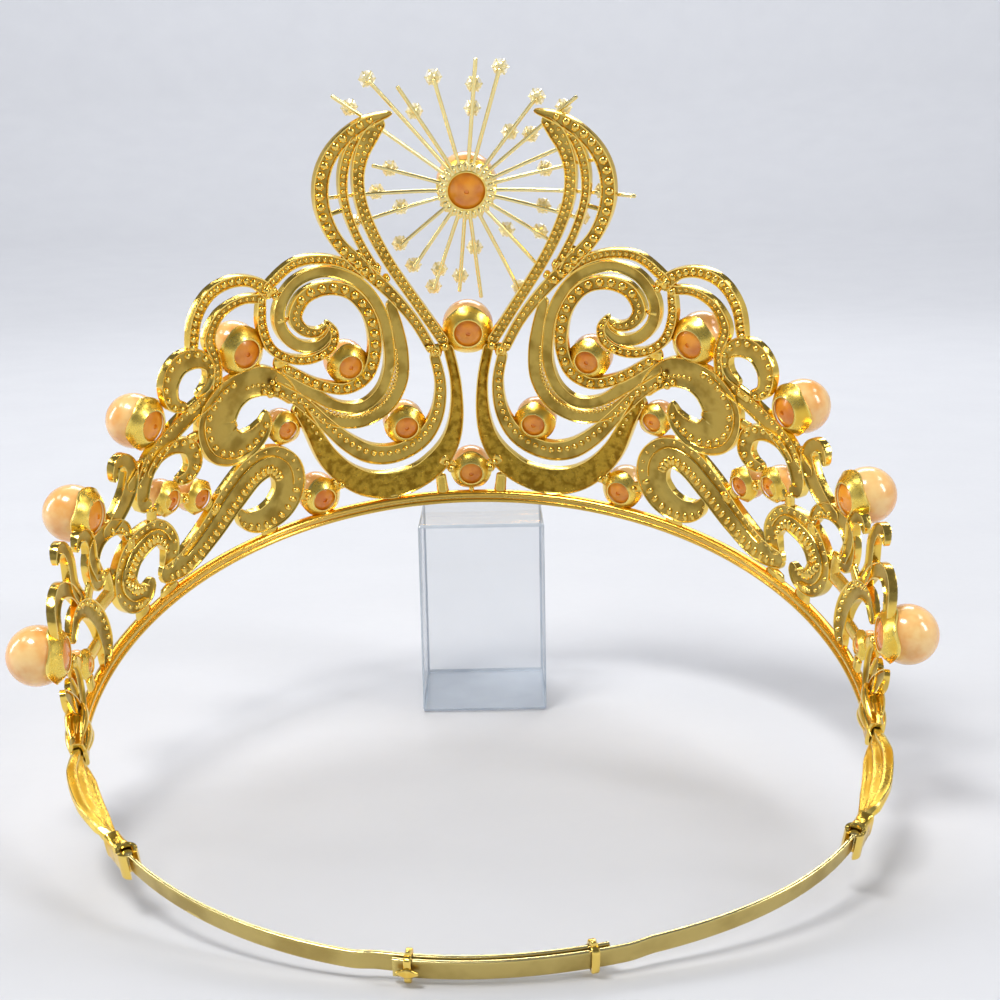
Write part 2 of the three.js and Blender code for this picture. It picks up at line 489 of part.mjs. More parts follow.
// A strap strip: an eye in the rear clip, and a free end beyond the middle of the back.
// The left strip lies inside the right one where they overlap.
function makeStrip(side) {
  const free = halfRing + STRIP_OVERLAP / 2 - side * LAP_SHIFT;
  const lap = halfRing - STRIP_OVERLAP / 2 - side * LAP_SHIFT - 2 * COLLAR_LENGTH;
  const share = along => THREE.MathUtils.smoothstep(Math.abs(along), lap - 4 * COLLAR_LENGTH, lap);
  const rings = evenStations(side * eyePlace, side * free, 16, STRIP_HEIGHT / 2, STRIP_THICKNESS / 2)
    .map(([along, halfHeight, halfThickness]) => squareSection.map(([up, out]) =>
      ringPoint(along, ringMiddle + up * halfHeight, side * lapOutward * share(along) + out * halfThickness)));
  return toSolid(loft(rings, squareSection)).add(uprightBar(side * eyePlace, eyeRadius, STRIP_HEIGHT, 8));
}

// A collar: a crimped band round both strips, with the crimp's wings on one face
function makeCollar(side) {
  const place = side * (halfRing - COLLAR_SPACING / 2) - LAP_SHIFT;
  const halfHeight = STRIP_HEIGHT / 2 + GAP;
  const halfThickness = lapOutward + STRIP_THICKNESS / 2 + GAP;
  const around = ringBar(evenStations(place - COLLAR_LENGTH / 2, place + COLLAR_LENGTH / 2, 1,
    halfHeight + COLLAR_WALL, halfThickness + COLLAR_WALL), squareSection, ringMiddle);
  const wings = ringBar(evenStations(place - 1.5 * COLLAR_LENGTH, place + 1.5 * COLLAR_LENGTH, 2,
    halfHeight / 2, COLLAR_WALL), squareSection, ringMiddle, -side * (halfThickness + COLLAR_WALL));
  const inside = ringBar(evenStations(place - 2 * COLLAR_LENGTH, place + 2 * COLLAR_LENGTH, 2,
    halfHeight, halfThickness), squareSection, ringMiddle);
  return joinAll([around, wings]).subtract(inside);
}

// Materials

const goldOf = roughness => new THREE.MeshStandardMaterial({ color: 0xd9ae3c, roughness, metalness: 1 });
const castGold = goldOf(0.34);
const brightGold = goldOf(0.18);
const pearlOrange = new THREE.MeshStandardMaterial({ color: 0xf0a35c, roughness: 0.25, metalness: 0 });
const clearAcrylic = new THREE.MeshStandardMaterial({
  color: 0xe8edf2, roughness: 0.05, metalness: 0, transparent: true, opacity: 0.35 });

// Assembly: the crown leans in a turned group, lifted until its lowest point is on the floor

const crown = new THREE.Group();
crown.rotation.x = radians(REST_TILT);

function place(name, solid, material, parent = crown) {
  const mesh = new THREE.Mesh(toGeometry(solid), material);
  mesh.name = name;
  parent.add(mesh);
  return mesh;
}

function placePair(name, make, material) {
  place(`${name}_right`, make(1), material);
  place(`${name}_left`, make(-1), material);
}

place('front_openwork', makeOpenwork(), castGold);
place('ray_burst', makeSpray(), brightGold);
place('pearl_hub', toSolid(seated(ball(pearlRadius(hub.size)), ...hubSeat)), pearlOrange);
Object.entries(middlePearls).forEach(([name, pearl]) => place(`pearl_${name}`, pearlSolid(pearl), pearlOrange));
Object.entries(pairedPearls).forEach(([name, pearl]) => placePair(`pearl_${name}`,
  side => pearlSolid({ ...pearl, column: side * pearl.column }), pearlOrange));
placePair('front_clip', makeFrontClip, brightGold);
placePair('leaf_link', makeLink, brightGold);
placePair('rear_clip', makeRearClip, brightGold);
placePair('strap', makeStrip, brightGold);
placePair('collar', makeCollar, brightGold);

const model = new THREE.Group();
model.add(crown);
model.updateMatrixWorld(true);
crown.position.z -= new THREE.Box3().setFromObject(crown, true).min.z;

// The block's top lies just under the band's foot, and its middle a little behind the band's front
model.updateMatrixWorld(true);
const bandFoot = new THREE.Vector3(BLOCK_WIDTH / 2 + BLOCK_OFFSET, 0, 0);
const bandInside = RING_FRONT_REACH * Math.sqrt(1 - (bandFoot.x / RING_HALF_WIDTH) ** 2) - BAND_THICKNESS / 2;
const bandLow = crown.localToWorld(new THREE.Vector3(0, bandInside, 0));
const blockHeight = bandLow.z - GAP;
const block = new THREE.Mesh(new THREE.BoxGeometry(BLOCK_WIDTH, BLOCK_WIDTH, blockHeight), clearAcrylic);
block.name = 'display_block';
block.rotation.z = radians(-BLOCK_TURN);
block.position.set(BLOCK_OFFSET, bandLow.y - BLOCK_SETBACK + BAND_THICKNESS / 2, blockHeight / 2);
model.add(block);

// The origin is under the middle of the whole
model.updateMatrixWorld(true);
const middle = new THREE.Box3().setFromObject(model, true).getCenter(new THREE.Vector3());
model.position.set(-middle.x, -middle.y, 0);

export default model;
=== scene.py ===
# %% [markdown]
# A pageant crown of gilt openwork, seen from its inner side, with its front band on a clear block.
# The imported model is the fixed frame: every piece made below is bent onto the same
# crown line, so it lands where the frame has it, and nothing has to be fitted by eye.

# %% The frame and its sizes
import math

import bmesh
import bpy
import numpy as np
from mathutils import Matrix, Vector


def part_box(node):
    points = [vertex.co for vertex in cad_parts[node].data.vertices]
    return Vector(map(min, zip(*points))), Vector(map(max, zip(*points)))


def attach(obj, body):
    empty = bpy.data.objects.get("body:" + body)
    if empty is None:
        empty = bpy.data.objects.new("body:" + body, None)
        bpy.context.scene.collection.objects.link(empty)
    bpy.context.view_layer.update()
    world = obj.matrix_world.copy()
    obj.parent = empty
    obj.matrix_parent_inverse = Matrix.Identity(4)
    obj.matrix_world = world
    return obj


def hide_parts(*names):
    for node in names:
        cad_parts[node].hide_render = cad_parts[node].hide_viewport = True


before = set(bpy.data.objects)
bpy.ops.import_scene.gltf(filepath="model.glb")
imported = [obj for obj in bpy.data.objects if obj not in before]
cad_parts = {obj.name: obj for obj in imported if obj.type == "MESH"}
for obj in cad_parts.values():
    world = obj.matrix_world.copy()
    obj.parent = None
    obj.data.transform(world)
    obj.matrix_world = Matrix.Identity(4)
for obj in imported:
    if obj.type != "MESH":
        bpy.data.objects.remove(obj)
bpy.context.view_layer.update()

# %% [markdown]
# A crown like this is a flat casting rolled round a ring. So the ring comes first: two half
# ellipses, the front one longer, with a length measured along it. Everything on the crown is then
# given by three numbers: how far along the ring, how high above its foot, and how far outward.

# %% The ring, in millimetres
RING_HALF_WIDTH = 77.8
RING_FRONT_REACH = 84
RING_BACK_REACH = 69
REST_TILT = math.radians(17.65)
SIDE_FLARE = math.radians(6)
RIGHT_SWING = 5


def around(count):
    """That many angles, evenly spaced once round."""
    return np.linspace(0, 2 * math.pi, count, endpoint=False)


def quarter(reach, from_side):
    """A quarter of the ring as length, place and direction."""
    turn = np.linspace(0, math.pi / 2, 2401)
    x, y = RING_HALF_WIDTH * np.sin(turn), reach * np.cos(turn)
    if from_side:
        x, y = x[::-1], -y[::-1]
    length = np.append(0, np.cumsum(np.hypot(np.diff(x), np.diff(y))))
    ahead_x, ahead_y = np.gradient(x, length), np.gradient(y, length)
    return length, x, y, ahead_x, ahead_y


front_quarter = quarter(RING_FRONT_REACH, False)
back_quarter = quarter(RING_BACK_REACH, True)
front_length = front_quarter[0][-1]
half_ring = front_length + back_quarter[0][-1]


def bend(points):
    """Bends points of the flat drawing (along, height, outward) onto the crown."""
    along, height, outward = np.moveaxis(np.asarray(points, float), -1, 0)
    run = np.abs(along)
    past_back = run > half_ring
    folded = np.where(past_back, 2 * half_ring - run, run)
    side = np.where(along < 0, -1, 1) * np.where(past_back, -1, 1)
    in_front = folded <= front_length
    x, y, ahead_x, ahead_y = [
        np.where(in_front, np.interp(folded, front_quarter[0], front),
                 np.interp(folded - front_length, back_quarter[0], back))
        for front, back in zip(front_quarter[1:], back_quarter[1:])]
    shift = outward + math.tan(SIDE_FLARE) * (x / RING_HALF_WIDTH) ** 2 * height
    share = np.clip((folded - front_length) / (half_ring - front_length), 0, 1)
    swing = np.where(side > 0, RIGHT_SWING * (1 - np.cos(2 * math.pi * share)) / 2, 0)
    return np.stack([side * (x + swing - ahead_y * shift), y + ahead_x * shift, height], -1)


print(f"ring: {front_length:.1f} mm from the middle to the side, {half_ring:.1f} mm to the back")

# %% [markdown]
# The openwork was drawn on squared paper, from the middle of the front to its side. Here the same
# stations are kept: column, row and a share of the usual ribbon width. A smooth curve runs
# through them, which a caster would have cut in wax, and the left half is the mirror image.

# %% The drawing's paper
GRID_COLUMNS = 127
LACE_HEIGHT = 100
LACE_THICKNESS = 1.8
RIBBON_WIDTH = 2.5
column_width = front_length / GRID_COLUMNS
row_height = LACE_HEIGHT / 100
print("one square of the paper:", round(column_width, 2), "by", row_height, "mm")

# %% The narrow ribbons
narrow_ribbons = {
    "bowl": [[8.2, 41, 1], [6.9, 33, 1.15], [8, 25, 1.4], [11, 19.6, 1.7], [15, 16.7, 1.9], [20, 15.5, 2],
        [25, 16.7, 2], [30, 20.5, 1.8], [35.5, 27, 1.4], [41, 34, 1.3], [46, 39, 1.4]],
    "volute_beaded": [[44.5, 43.5, 1], [36, 37, 1.1], [29.5, 34.8, 1.2], [24.8, 36.8, 1.3],
        [22.4, 42, 1.3], [22.2, 48.5, 1.3], [23.8, 54, 1.3], [27.6, 58.6, 1.3], [33, 60.2, 1.35],
        [38, 58.8, 1.4], [40.4, 54.6, 1.3], [38.6, 51.2, 1.1], [35.4, 50, 0.9], [32.8, 51.4, 0.4]],
    "volute_plain": [[46, 42.5, 1.6], [38, 35.4, 1.3], [31.5, 30.4, 1.1], [26, 29.4, 1.1],
        [21.4, 32.6, 1.1], [19, 38.5, 1.1], [18.9, 45.5, 1.1], [20, 52, 1.1], [23.2, 58.3, 1.1],
        [27.4, 62.1, 1.1], [33, 64.2, 1.05], [39.6, 62.8, 1.05], [43.8, 57.6, 1.1], [43.8, 52.4, 1.15],
        [40.4, 48, 1.2], [36, 46.8, 1], [33, 48.6, 0.7], [32, 51, 0.3]],
    "volute_outer": [[39, 32.8, 1.1], [35.5, 29, 1.2], [31.5, 26.5, 1.25], [26, 25.7, 1.3],
        [20, 28.4, 1.35], [16.4, 34.3, 1.3], [15.8, 41.5, 1.3], [16.6, 48, 1.2], [18, 55, 0.9]],
    "link_scroll": [[33.2, 52.3, 0.5], [31.5, 49.4, 0.8], [32.4, 45.8, 0.95], [37.2, 43.9, 0.95],
        [42.6, 45.1, 0.9], [46.8, 48.8, 0.9], [48.4, 54.6, 0.9], [47.6, 61.5, 0.8]],
    "top_arc_inner": [[22.5, 61.5, 0.9], [27.4, 65, 0.9], [33.5, 67.2, 0.9], [39.6, 67.1, 0.9],
        [46.8, 62.6, 0.9]],
    "top_arc_outer": [[45.5, 60.5, 1.2], [46.8, 63, 1.3], [50, 65.4, 1.05], [54.5, 66.3, 1.05],
        [59.6, 65, 1.05], [63.8, 60.6, 1.05], [66, 53.5, 1.05]],
    "crest_arc": [[46.5, 60.6, 1], [52.5, 61.6, 0.8], [58.3, 59.6, 0.9], [61.4, 55, 1.1],
        [60.4, 49.5, 0.9], [61.5, 42.5, 1]],
    "diagonal": [[61.5, 42.6, 1.6], [72, 39, 1.6], [82, 34.4, 1.8], [85.8, 30.2, 1.8], [86.8, 26.6, 1.5],
        [84.2, 25.3, 1]],
    "scroll": [[83.5, 31.5, 0.8], [79.5, 34.3, 1], [74.6, 34.7, 1.3], [70.8, 32.8, 1.7], [70.2, 29, 1.7],
        [72.4, 26.8, 1.4], [76, 26.6, 0.8]],
    "hook": [[101, 26.6, 1.2], [94.6, 28.6, 1.6], [89.8, 32, 1.8], [88, 36, 1.5], [89.6, 38.6, 1.2],
        [92, 38.4, 1], [93.4, 35.3, 0.8]],
    "hook_stem": [[83.5, 35, 1.2], [90, 31.5, 1.2]],
    "side_loop": [[92.8, 21.4, 1], [94.3, 25, 1.3], [98.5, 27.3, 1.5], [103.5, 27.2, 1.7],
        [107.3, 24.5, 1.9], [107.6, 20.5, 1.8], [104.5, 18.6, 1.2]],
    "fin": [[105.5, 19.5, 1.3], [107, 24.5, 1.4], [106.2, 28.6, 1.3], [107.4, 31, 1.1],
        [109.6, 31.4, 0.9], [111.4, 29.4, 0.6]],
    "tall_fin": [[114, 19, 1.4], [116.4, 24.4, 1.4], [115.2, 30.4, 1.3], [116.4, 33.6, 1.1],
        [118.4, 34.2, 0.9], [120.4, 32.2, 0.6]],
    "end_loop": [[115.6, 20, 1], [118.4, 25, 1.2], [123, 27.6, 1.4], [127.4, 26, 1.4], [129.6, 21, 1.2]],
    "petal_front": [[131.4, 2.6, 0.8], [128.8, 5.4, 1.5], [126.8, 9.6, 1.5], [126.2, 14, 0.8]],
    "petal_middle": [[131.8, 2.6, 0.8], [131.4, 7, 1.8], [131, 13, 1.2]],
    "petal_rear": [[131.6, 2.6, 0.8], [132.2, 7, 1.3], [135, 10.4, 1.6], [137.2, 14.4, 0.8]],
    "horn_inner": [[5.4, 43.2, 1.1], [10.6, 52, 1.05], [17.7, 64.2, 1.05], [21.4, 72.4, 1.1],
        [23.4, 79.4, 1.1], [23.6, 85.4, 1.15], [22.4, 90, 1.35], [20.4, 93.6, 1.5], [17.4, 96.8, 0.9]],
    "horn_middle": [[20.2, 61.6, 0.8], [24.8, 71.4, 0.8], [27, 79.6, 0.8], [26.9, 85.6, 0.9],
        [25.6, 90, 0.9], [23.4, 93.8, 0.8]],
    "horn_outer": [[8.3, 41.2, 1], [12.2, 49, 1], [17.2, 56.2, 1.15], [24.6, 64.8, 1.3],
        [29.6, 71.4, 1.25], [32, 78.6, 1.35], [31.7, 85, 1.35], [29.6, 89.8, 1.3], [26, 93.6, 1.25],
        [21.4, 96.4, 1.1], [15.4, 98.2, 0.4]],
}
print("narrow ribbons a side:", len(narrow_ribbons))

# %% The broad leaves and the solder joints
broad_leaves = {
    "leaf": [[4.9, 43, 1], [3.2, 33, 1.1], [3.4, 23.4, 1.5], [5, 17.3, 1.9], [8.3, 12.2, 2.4],
        [13, 8.6, 2.6], [19.3, 7, 2.9], [25.5, 8.3, 2.7], [30.8, 12, 2.4], [35.4, 18, 2.1],
        [39.2, 27, 1.5], [42, 33.5, 1.3]],
    "leaf_volute": [[42.3, 34.5, 1.2], [45.6, 39, 2.2], [50, 41.7, 2.9], [54.6, 41.8, 3],
        [59.4, 39.8, 3.6], [62.8, 35.4, 4.2], [62, 30.4, 4.1], [58, 27.7, 3.2], [53.6, 28.5, 2.4],
        [50.6, 31, 1.6], [49.6, 34.2, 0.5]],
    "tail": [[60.4, 12.6, 0.6], [58.6, 9.2, 1.8], [54.4, 7.5, 2.6], [49.4, 8.8, 3.2], [46.2, 13, 3.3],
        [46.4, 18, 3.3], [49.8, 21.3, 3.1], [54.6, 20.8, 3.2], [61.6, 16.4, 3.3], [69, 11.2, 3],
        [77.6, 7.6, 2.6], [86, 8, 1.6]],
    "crest_curl": [[69.6, 41.9, 0.9], [73, 44.3, 1.4], [73, 48.8, 1.9], [69.8, 52, 2], [65.4, 52, 1.8],
        [62.4, 49, 1.1], [63.2, 45.7, 0.9], [66.4, 43.2, 0.8]],
    "side_volute": [[83.6, 8.6, 1.4], [81.2, 13.6, 2], [83.8, 18.2, 2.3], [89, 19, 2.7],
        [94.6, 17.6, 3.1], [98.4, 13.4, 3.4], [96.4, 9, 2.8], [91.6, 7.4, 1.8], [88.4, 9.2, 1]],
    "end_leaf": [[113.2, 2.6, 0.9], [110.4, 7, 2], [110.8, 13, 2.1], [114.2, 18, 1.7], [119.4, 19.4, 1.3],
        [124, 16.4, 1.2]],
}
solder_joints = [
    [[19.4, 2.6, 1.2], [19.4, 4.6, 1.6]], [[4, 9.6, 1.2], [7.4, 13, 1.2]], [[7, 2.6, 1.2], [7.6, 8.5, 1]],
    [[32.4, 10.4, 1.2], [35.2, 8.4, 1.2]], [[39.2, 8.6, 1.2], [44, 10.2, 1.2]],
    [[37.3, 2.4, 1.8], [37.3, 3.6, 1.4]], [[52.4, 2.6, 2], [52.4, 5.4, 1.6]], [[84, 2.6, 3], [84, 5.2, 2]],
    [[94, 2.6, 2.4], [94, 7, 1.8]], [[120.6, 2.6, 1.6], [120.6, 6, 1.2]], [[112, 8.6, 1.4], [119, 8.8, 1.4]],
    [[121.4, 9.6, 1.2], [125.6, 13.6, 1.2]], [[6.2, 41.6, 1.4], [9.2, 41.2, 1.4]],
    [[27, 77.6, 0.4], [30.8, 76.8, 0.4]], [[43, 44.4, 1], [46.6, 44.6, 1.4]],
    [[42, 54.4, 0.6], [45, 54.6, 0.6]], [[43.6, 61.2, 0.9], [46.6, 62, 1.2]],
    [[67.4, 34.6, 1], [70.8, 34, 1.2]], [[65.4, 14.2, 1.4], [68.8, 18.2, 1.4]],
    [[73, 21, 1], [76, 22.6, 1]], [[65.6, 42, 1.2], [69.6, 40.8, 1.2]], [[79.8, 25.2, 1], [82.8, 21.6, 1.4]],
    [[84, 24.4, 1.2], [85, 20.6, 1.2]], [[93, 22, 1.6], [93, 18.6, 1.6]], [[103.4, 20, 1.6], [103, 14, 1.6]],
    [[102, 14.6, 1.6], [110.4, 14.6, 1.6]], [[109, 21, 1], [113, 18, 1.4]],
]
all_drawn = narrow_ribbons | broad_leaves
print("broad leaves a side:", len(broad_leaves), "and solder joints:", len(solder_joints))

# %% [markdown]
# Pearls sit in open cups, from 6 mm seed pearls to the 14 mm one in the hub. A cup is a bowl with
# a hole at the back, where the photograph looks in and sees the bare bead.
# Each place is a column, a row, a size and how far the cup stands out.

# %% Where the pearls sit
PEARL_SIZES = {"great": 14, "large": 12, "medium": 10, "small": 8, "seed": 6}
CUP_WALL = 0.4
CUP_HOLE_ANGLE = 36
CUP_LIP_ANGLE = 32
CUP_RIM_ANGLE = 60
CUP_STANDS_PROUD = 0.3
GAP = 0.3
WIRE_DIAMETER = 0.9
SPRAY_CLEARANCE = 0.8
spray_outward = LACE_THICKNESS / 2 + SPRAY_CLEARANCE + WIRE_DIAMETER / 2
HUB = (0.4, 79.4)
one_side = {
    "crest": (53.2, 49.4, "large", 0), "volute": (28.4, 40.2, "medium", 0),
    "bowl": (15.6, 22.4, "medium", 0), "leaf": (45.2, 28, "small", 0),
    "base": (37.6, 7.4, "medium", 0), "tail_large": (70.2, 20, "small", 0),
    "tail_small": (78.6, 23.6, "small", 0), "shoulder": (79.4, 41.8, "large", 0.6),
    "side": (102, 32.2, "large", 0.6), "end": (129.2, 17.6, "large", 0.6),
    "end_small": (120.6, 8.8, "seed", 0)}


def cup_radius(size):
    return PEARL_SIZES[size] / 2 + GAP + CUP_WALL


def cup_back(size):
    return cup_radius(size) * math.cos(math.radians(CUP_HOLE_ANGLE))


def seat(column, row, size, lift):
    """The flat place of a pearl's middle."""
    outward = cup_back(size) - LACE_THICKNESS / 2 - CUP_STANDS_PROUD + lift
    return [column * column_width, row * row_height, outward]


pearls = {f"{name}_{side}": (seat(sign * place[0], *place[1:]), place[2])
          for name, place in one_side.items() for side, sign in (("right", 1), ("left", -1))}
pearls["upper"] = (seat(0, 46, "large", 0), "large")
pearls["lower"] = (seat(0, 8.6, "medium", 0), "medium")
hub_seat = [HUB[0] * column_width, HUB[1] * row_height,
            spray_outward - WIRE_DIAMETER / 2 - CUP_STANDS_PROUD / 2 + cup_back("great")]
pearls["hub"] = (hub_seat, "great")

# The crown leans back on its strap: the frame's hub pearl says where that puts it.
hub_middle = sum(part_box("pearl_hub"), Vector()) / 2


def lean(points):
    """Leans crown points in millimetres onto their strap and block, in metres."""
    x, y, z = np.moveaxis(np.asarray(points, float), -1, 0)
    return np.stack([x, y * math.cos(REST_TILT) - z * math.sin(REST_TILT),
                     y * math.sin(REST_TILT) + z * math.cos(REST_TILT)], -1) / 1000


stand = np.array(hub_middle) - lean(bend(hub_seat))
print("pearls:", len(pearls), "and the crown stands off by", [round(1000 * v, 2) for v in stand], "mm")

# %% [markdown]
# Every metal piece below is a sheet of points wrapped into a skin: rows of the same outline, one
# after another. One small collector keeps the skins of a piece, gives each face its finish, and
# at the end bends, leans and shades the whole. Points that would run into a pearl are
# pressed back onto the seat that was cut for it, as a setter files metal away.

# %% Places on the crown
pearl_middles = np.array([bend(place) for place, _ in pearls.values()])
pearl_seats = np.array([PEARL_SIZES[size] / 2 + GAP + CUP_WALL / 2 for _, size in pearls.values()])


def clear_of_pearls(points):
    for middle, radius in zip(pearl_middles, pearl_seats):
        away = points - middle
        distance = np.linalg.norm(away, axis=-1)
        inside = distance < radius
        points[inside] = middle + away[inside] * (radius / distance[inside])[:, None]
    return points


def as_turned(points):
    return lean(points) + stand


def on_crown(points):
    return as_turned(bend(points))


def on_crown_clear(points):
    return as_turned(clear_of_pearls(bend(points)))


print("seats to keep clear of:", len(pearl_seats))


# %% The collector of skins
def in_scene(name, data):
    """A new object, linked into the scene."""
    made = bpy.data.objects.new(name, data)
    bpy.context.scene.collection.objects.link(made)
    return made


class Skin:
    """The faces of one piece, collected outline by outline."""

    def __init__(self):
        self.points, self.faces, self.finish, self.count = [], [], [], 0

    def wrap(self, rows, finish=0, round_trip=False, caps=True):
        """Skins rows of outlines. finish is one number, or one for each point of the outline."""
        rows = np.asarray(rows, float)
        length, size = rows.shape[:2]
        first = self.count
        self.points.append(rows.reshape(-1, 3))
        self.count += length * size
        tones = [finish] * size if isinstance(finish, int) else finish
        for r in range(length if round_trip else length - 1):
            here, there = first + r * size, first + (r + 1) % length * size
            for k in range(size):
                n = (k + 1) % size
                self.faces.append((here + k, here + n, there + n, there + k))
                self.finish.append(tones[k])
        if caps and not round_trip:
            self.faces += [tuple(range(first + size - 1, first - 1, -1)),
                           tuple(range(self.count - size, self.count))]
            self.finish += [tones[0]] * 2

    def piece(self, name, finishes, node, slot="bright_gold", place=on_crown, sharp=38):
        """Makes the piece, which stands for that node of the frame."""
        mesh = bpy.data.meshes.new(name)
        mesh.from_pydata(place(np.vstack(self.points)).tolist(), [], self.faces)
        for finish in finishes:
            mesh.materials.append(finish)
        mesh.polygons.foreach_set("material_index", self.finish)
        solid = bmesh.new()
        solid.from_mesh(mesh)
        bmesh.ops.remove_doubles(solid, verts=solid.verts, dist=2e-6)
        bmesh.ops.recalc_face_normals(solid, faces=solid.faces)
        solid.to_mesh(mesh)
        solid.free()
        mesh.shade_smooth()
        mesh.set_sharp_from_angle(angle=math.radians(sharp))
        made = in_scene(name, mesh)
        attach(made, "root")
        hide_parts(node)
        print(f"{name}: {sum(len(face.vertices) - 2 for face in mesh.polygons)} triangles")


trial = Skin()
trial.wrap([[(0, 0, 0), (1, 0, 0), (0, 1, 0)], [(0, 0, 1), (1, 0, 1), (0, 1, 1)]])
print("two outlines of three points make", len(trial.faces), "faces")

# %% [markdown]
# Before the metal, its finishes. A finish is a small net of nodes. The class below wraps one
# socket, so that plain arithmetic on it adds the Math nodes, and one method adds any other node:
# its settings first, then what its sockets take. That keeps a finish readable as a recipe.

# %% Finishes as recipes
class Value:
    """A number or colour on its way through a finish."""

    def __init__(self, finish, socket):
        self.finish, self.socket = finish, socket

    def math(self, operation, first, second):
        return self.finish.node("Math", {"operation": operation}, {0: first, 1: second})

    def __add__(self, other):
        return self.math("ADD", self, other)

    def __sub__(self, other):
        return self.math("SUBTRACT", self, other)

    def __rsub__(self, other):
        return self.math("SUBTRACT", other, self)

    def __mul__(self, other):
        return self.math("MULTIPLY", self, other)

    __radd__ = __add__
    __rmul__ = __mul__

    def between(self, low, high):
        """0 below low, 1 above high, and smooth between them."""
        return self.finish.node("MapRange", {"interpolation_type": "SMOOTHSTEP"},
                                {"Value": self, "From Min": low, "From Max": high}, "Result")


class Finish:
    """One material, made node by node."""

    def __init__(self, name):
        self.material = bpy.data.materials.new(name)
        self.material.use_nodes = True
        self.tree = self.material.node_tree
        self.surface = self.tree.nodes["Principled BSDF"]
        self.place = self.node("TexCoord", {}, {}, "Object")

    def node(self, kind, settings, sockets, out=0):
        made = self.tree.nodes.new("ShaderNode" + kind)
        for name, setting in settings.items():
            setattr(made, name, setting)
        self.set(made, sockets)
        return Value(self, made.outputs[out])

    def set(self, made, sockets):
        for name, value in sockets.items():
            if isinstance(value, Value):
                self.tree.links.new(value.socket, made.inputs[name])
            else:
                made.inputs[name].default_value = value

    def noise(self, size_mm, detail=2, stretch=(1, 1, 1)):
        """Cloudy spots of about that size, from 0 to 1."""
        scale = [s * 1000 / size_mm for s in stretch]
        where = self.node("Mapping", {}, {"Vector": self.place, "Scale": scale})
        return self.node("TexNoise", {}, {"Vector": where, "Scale": 1.0, "Detail": detail})

    def blend(self, share, first, second):
        return self.node("Mix", {"data_type": "RGBA"}, {0: share, 6: first, 7: second}, 2)

    def relief(self, height, depth_mm):
        sockets = {"Height": height, "Distance": depth_mm / 1000, "Strength": 1.0}
        return self.node("Bump", {}, sockets, "Normal")

    def done(self, **sockets):
        self.set(self.surface, {name.replace("_", " "): value for name, value in sockets.items()})
        return self.material


def colour(red, green, blue):
    """A colour given as a painter reads it off a screen, from 0 to 255."""
    return [((part / 255 + 0.055) / 1.055) ** 2.4 if part > 10 else part / 255 / 12.92
            for part in (red, green, blue)] + [1]


print("half grey on a screen is", round(colour(128, 128, 128)[0], 2), "in a finish")

# %% [markdown]
# Gold plate is one metal in many conditions. Raised rims and beads were polished by the buff, so
# they are bright. The floors of the ribbons kept the grain of the mould: duller, with a greenish
# shade, and the great leaf's floor is dimpled as if hammered. The band is a redder yellow, cups and
# links are stamped and smooth, and wires, claws and strap are nearly white; the claws are only half
# metal, so part of their paleness is a painted highlight. Sharp edges, taken from the mesh's own
# sharpness, turn paler and smoother: partly rubbed wear, partly a painted highlight along the real
# edges.

# %% One recipe for every gold
# The pale tone of sharp edges: rubbed metal and a painted highlight.
EDGE_WEAR_AND_HIGHLIGHT = (255, 232, 140)


def gold(name, bright, shaded, gloss, dull, grain_mm, relief_mm,
         cloud_mm=6, cloud_relief=0.5, metallic=1.0):
    """Two colours, how shiny and how dull it gets, and the sizes of its grain and its clouds."""
    finish = Finish(name)
    cloud, grain = finish.noise(cloud_mm, 3), finish.noise(grain_mm, 3)
    # Sharp edges turn paler and smoother: partly rubbed wear, partly a painted highlight.
    edge = finish.node("NewGeometry", {}, {}, "Pointiness").between(0.5, 0.56)
    stain = cloud.between(0.42, 0.66)
    tone = finish.blend(stain * 0.8 * (1 - edge), colour(*bright), colour(*shaded))
    tone = finish.blend(edge * 0.45, tone, colour(*EDGE_WEAR_AND_HIGHLIGHT))
    rough = (grain * (dull - gloss) + gloss) * (1.15 - 0.35 * edge) + stain * 0.05
    print("gold:", name)
    return finish.done(Base_Color=tone, Metallic=metallic, Roughness=rough,
                       Normal=finish.relief(grain + cloud * cloud_relief, relief_mm))


# %% The golds
polished_gold = gold("polished_gold", (252, 208, 84), (228, 168, 40), 0.07, 0.24, 0.9, 0.05)
satin_gold = gold("satin_gold", (202, 174, 88), (152, 124, 50), 0.25, 0.44, 0.7, 0.06)
hammered_gold = gold("hammered_gold", (196, 158, 56), (132, 98, 24), 0.16, 0.36, 0.8, 0.2, 1.8, 1.8)
drawn_gold = gold("drawn_gold", (255, 196, 58), (232, 154, 26), 0.10, 0.26, 0.6, 0.03)
pale_gold = gold("pale_gold", (255, 240, 184), (246, 218, 136), 0.16, 0.3, 0.6, 0.03)
# The claws are paler than their metal and only half metallic: part of their brightness is a painted
# highlight.
claw_gold = gold("claw_gold", (255, 246, 204), (252, 230, 160), 0.12, 0.26, 0.6, 0.03, metallic=0.45)
stamped_gold = gold("stamped_gold", (255, 222, 104), (244, 196, 66), 0.16, 0.32, 0.6, 0.02, 5, 0.2)
brushed_gold = gold("brushed_gold", (206, 184, 112), (176, 152, 84), 0.24, 0.4, 0.5, 0.012, 9, 0.1)

# %% [markdown]
# The pearls are glass beads with a lustrous peach coat. Their glow is soft and their highlight
# broad: a weak emission paints in light as if it ran under the skin, and a clear coat lies over it.
# Their colour turns warmer towards the outline as seen, which is painted shade. At the back the
# cup's hole shows the bead without its coat: a deeper, glassier orange, with a stronger painted glow
# for the light that shines through it. The rhinestones have foil behind them; the light it throws
# back is a painted glow, mottled into painted sparkle. The block's acrylic is a pale body that shows
# most at a slant, which paints in its reflections.

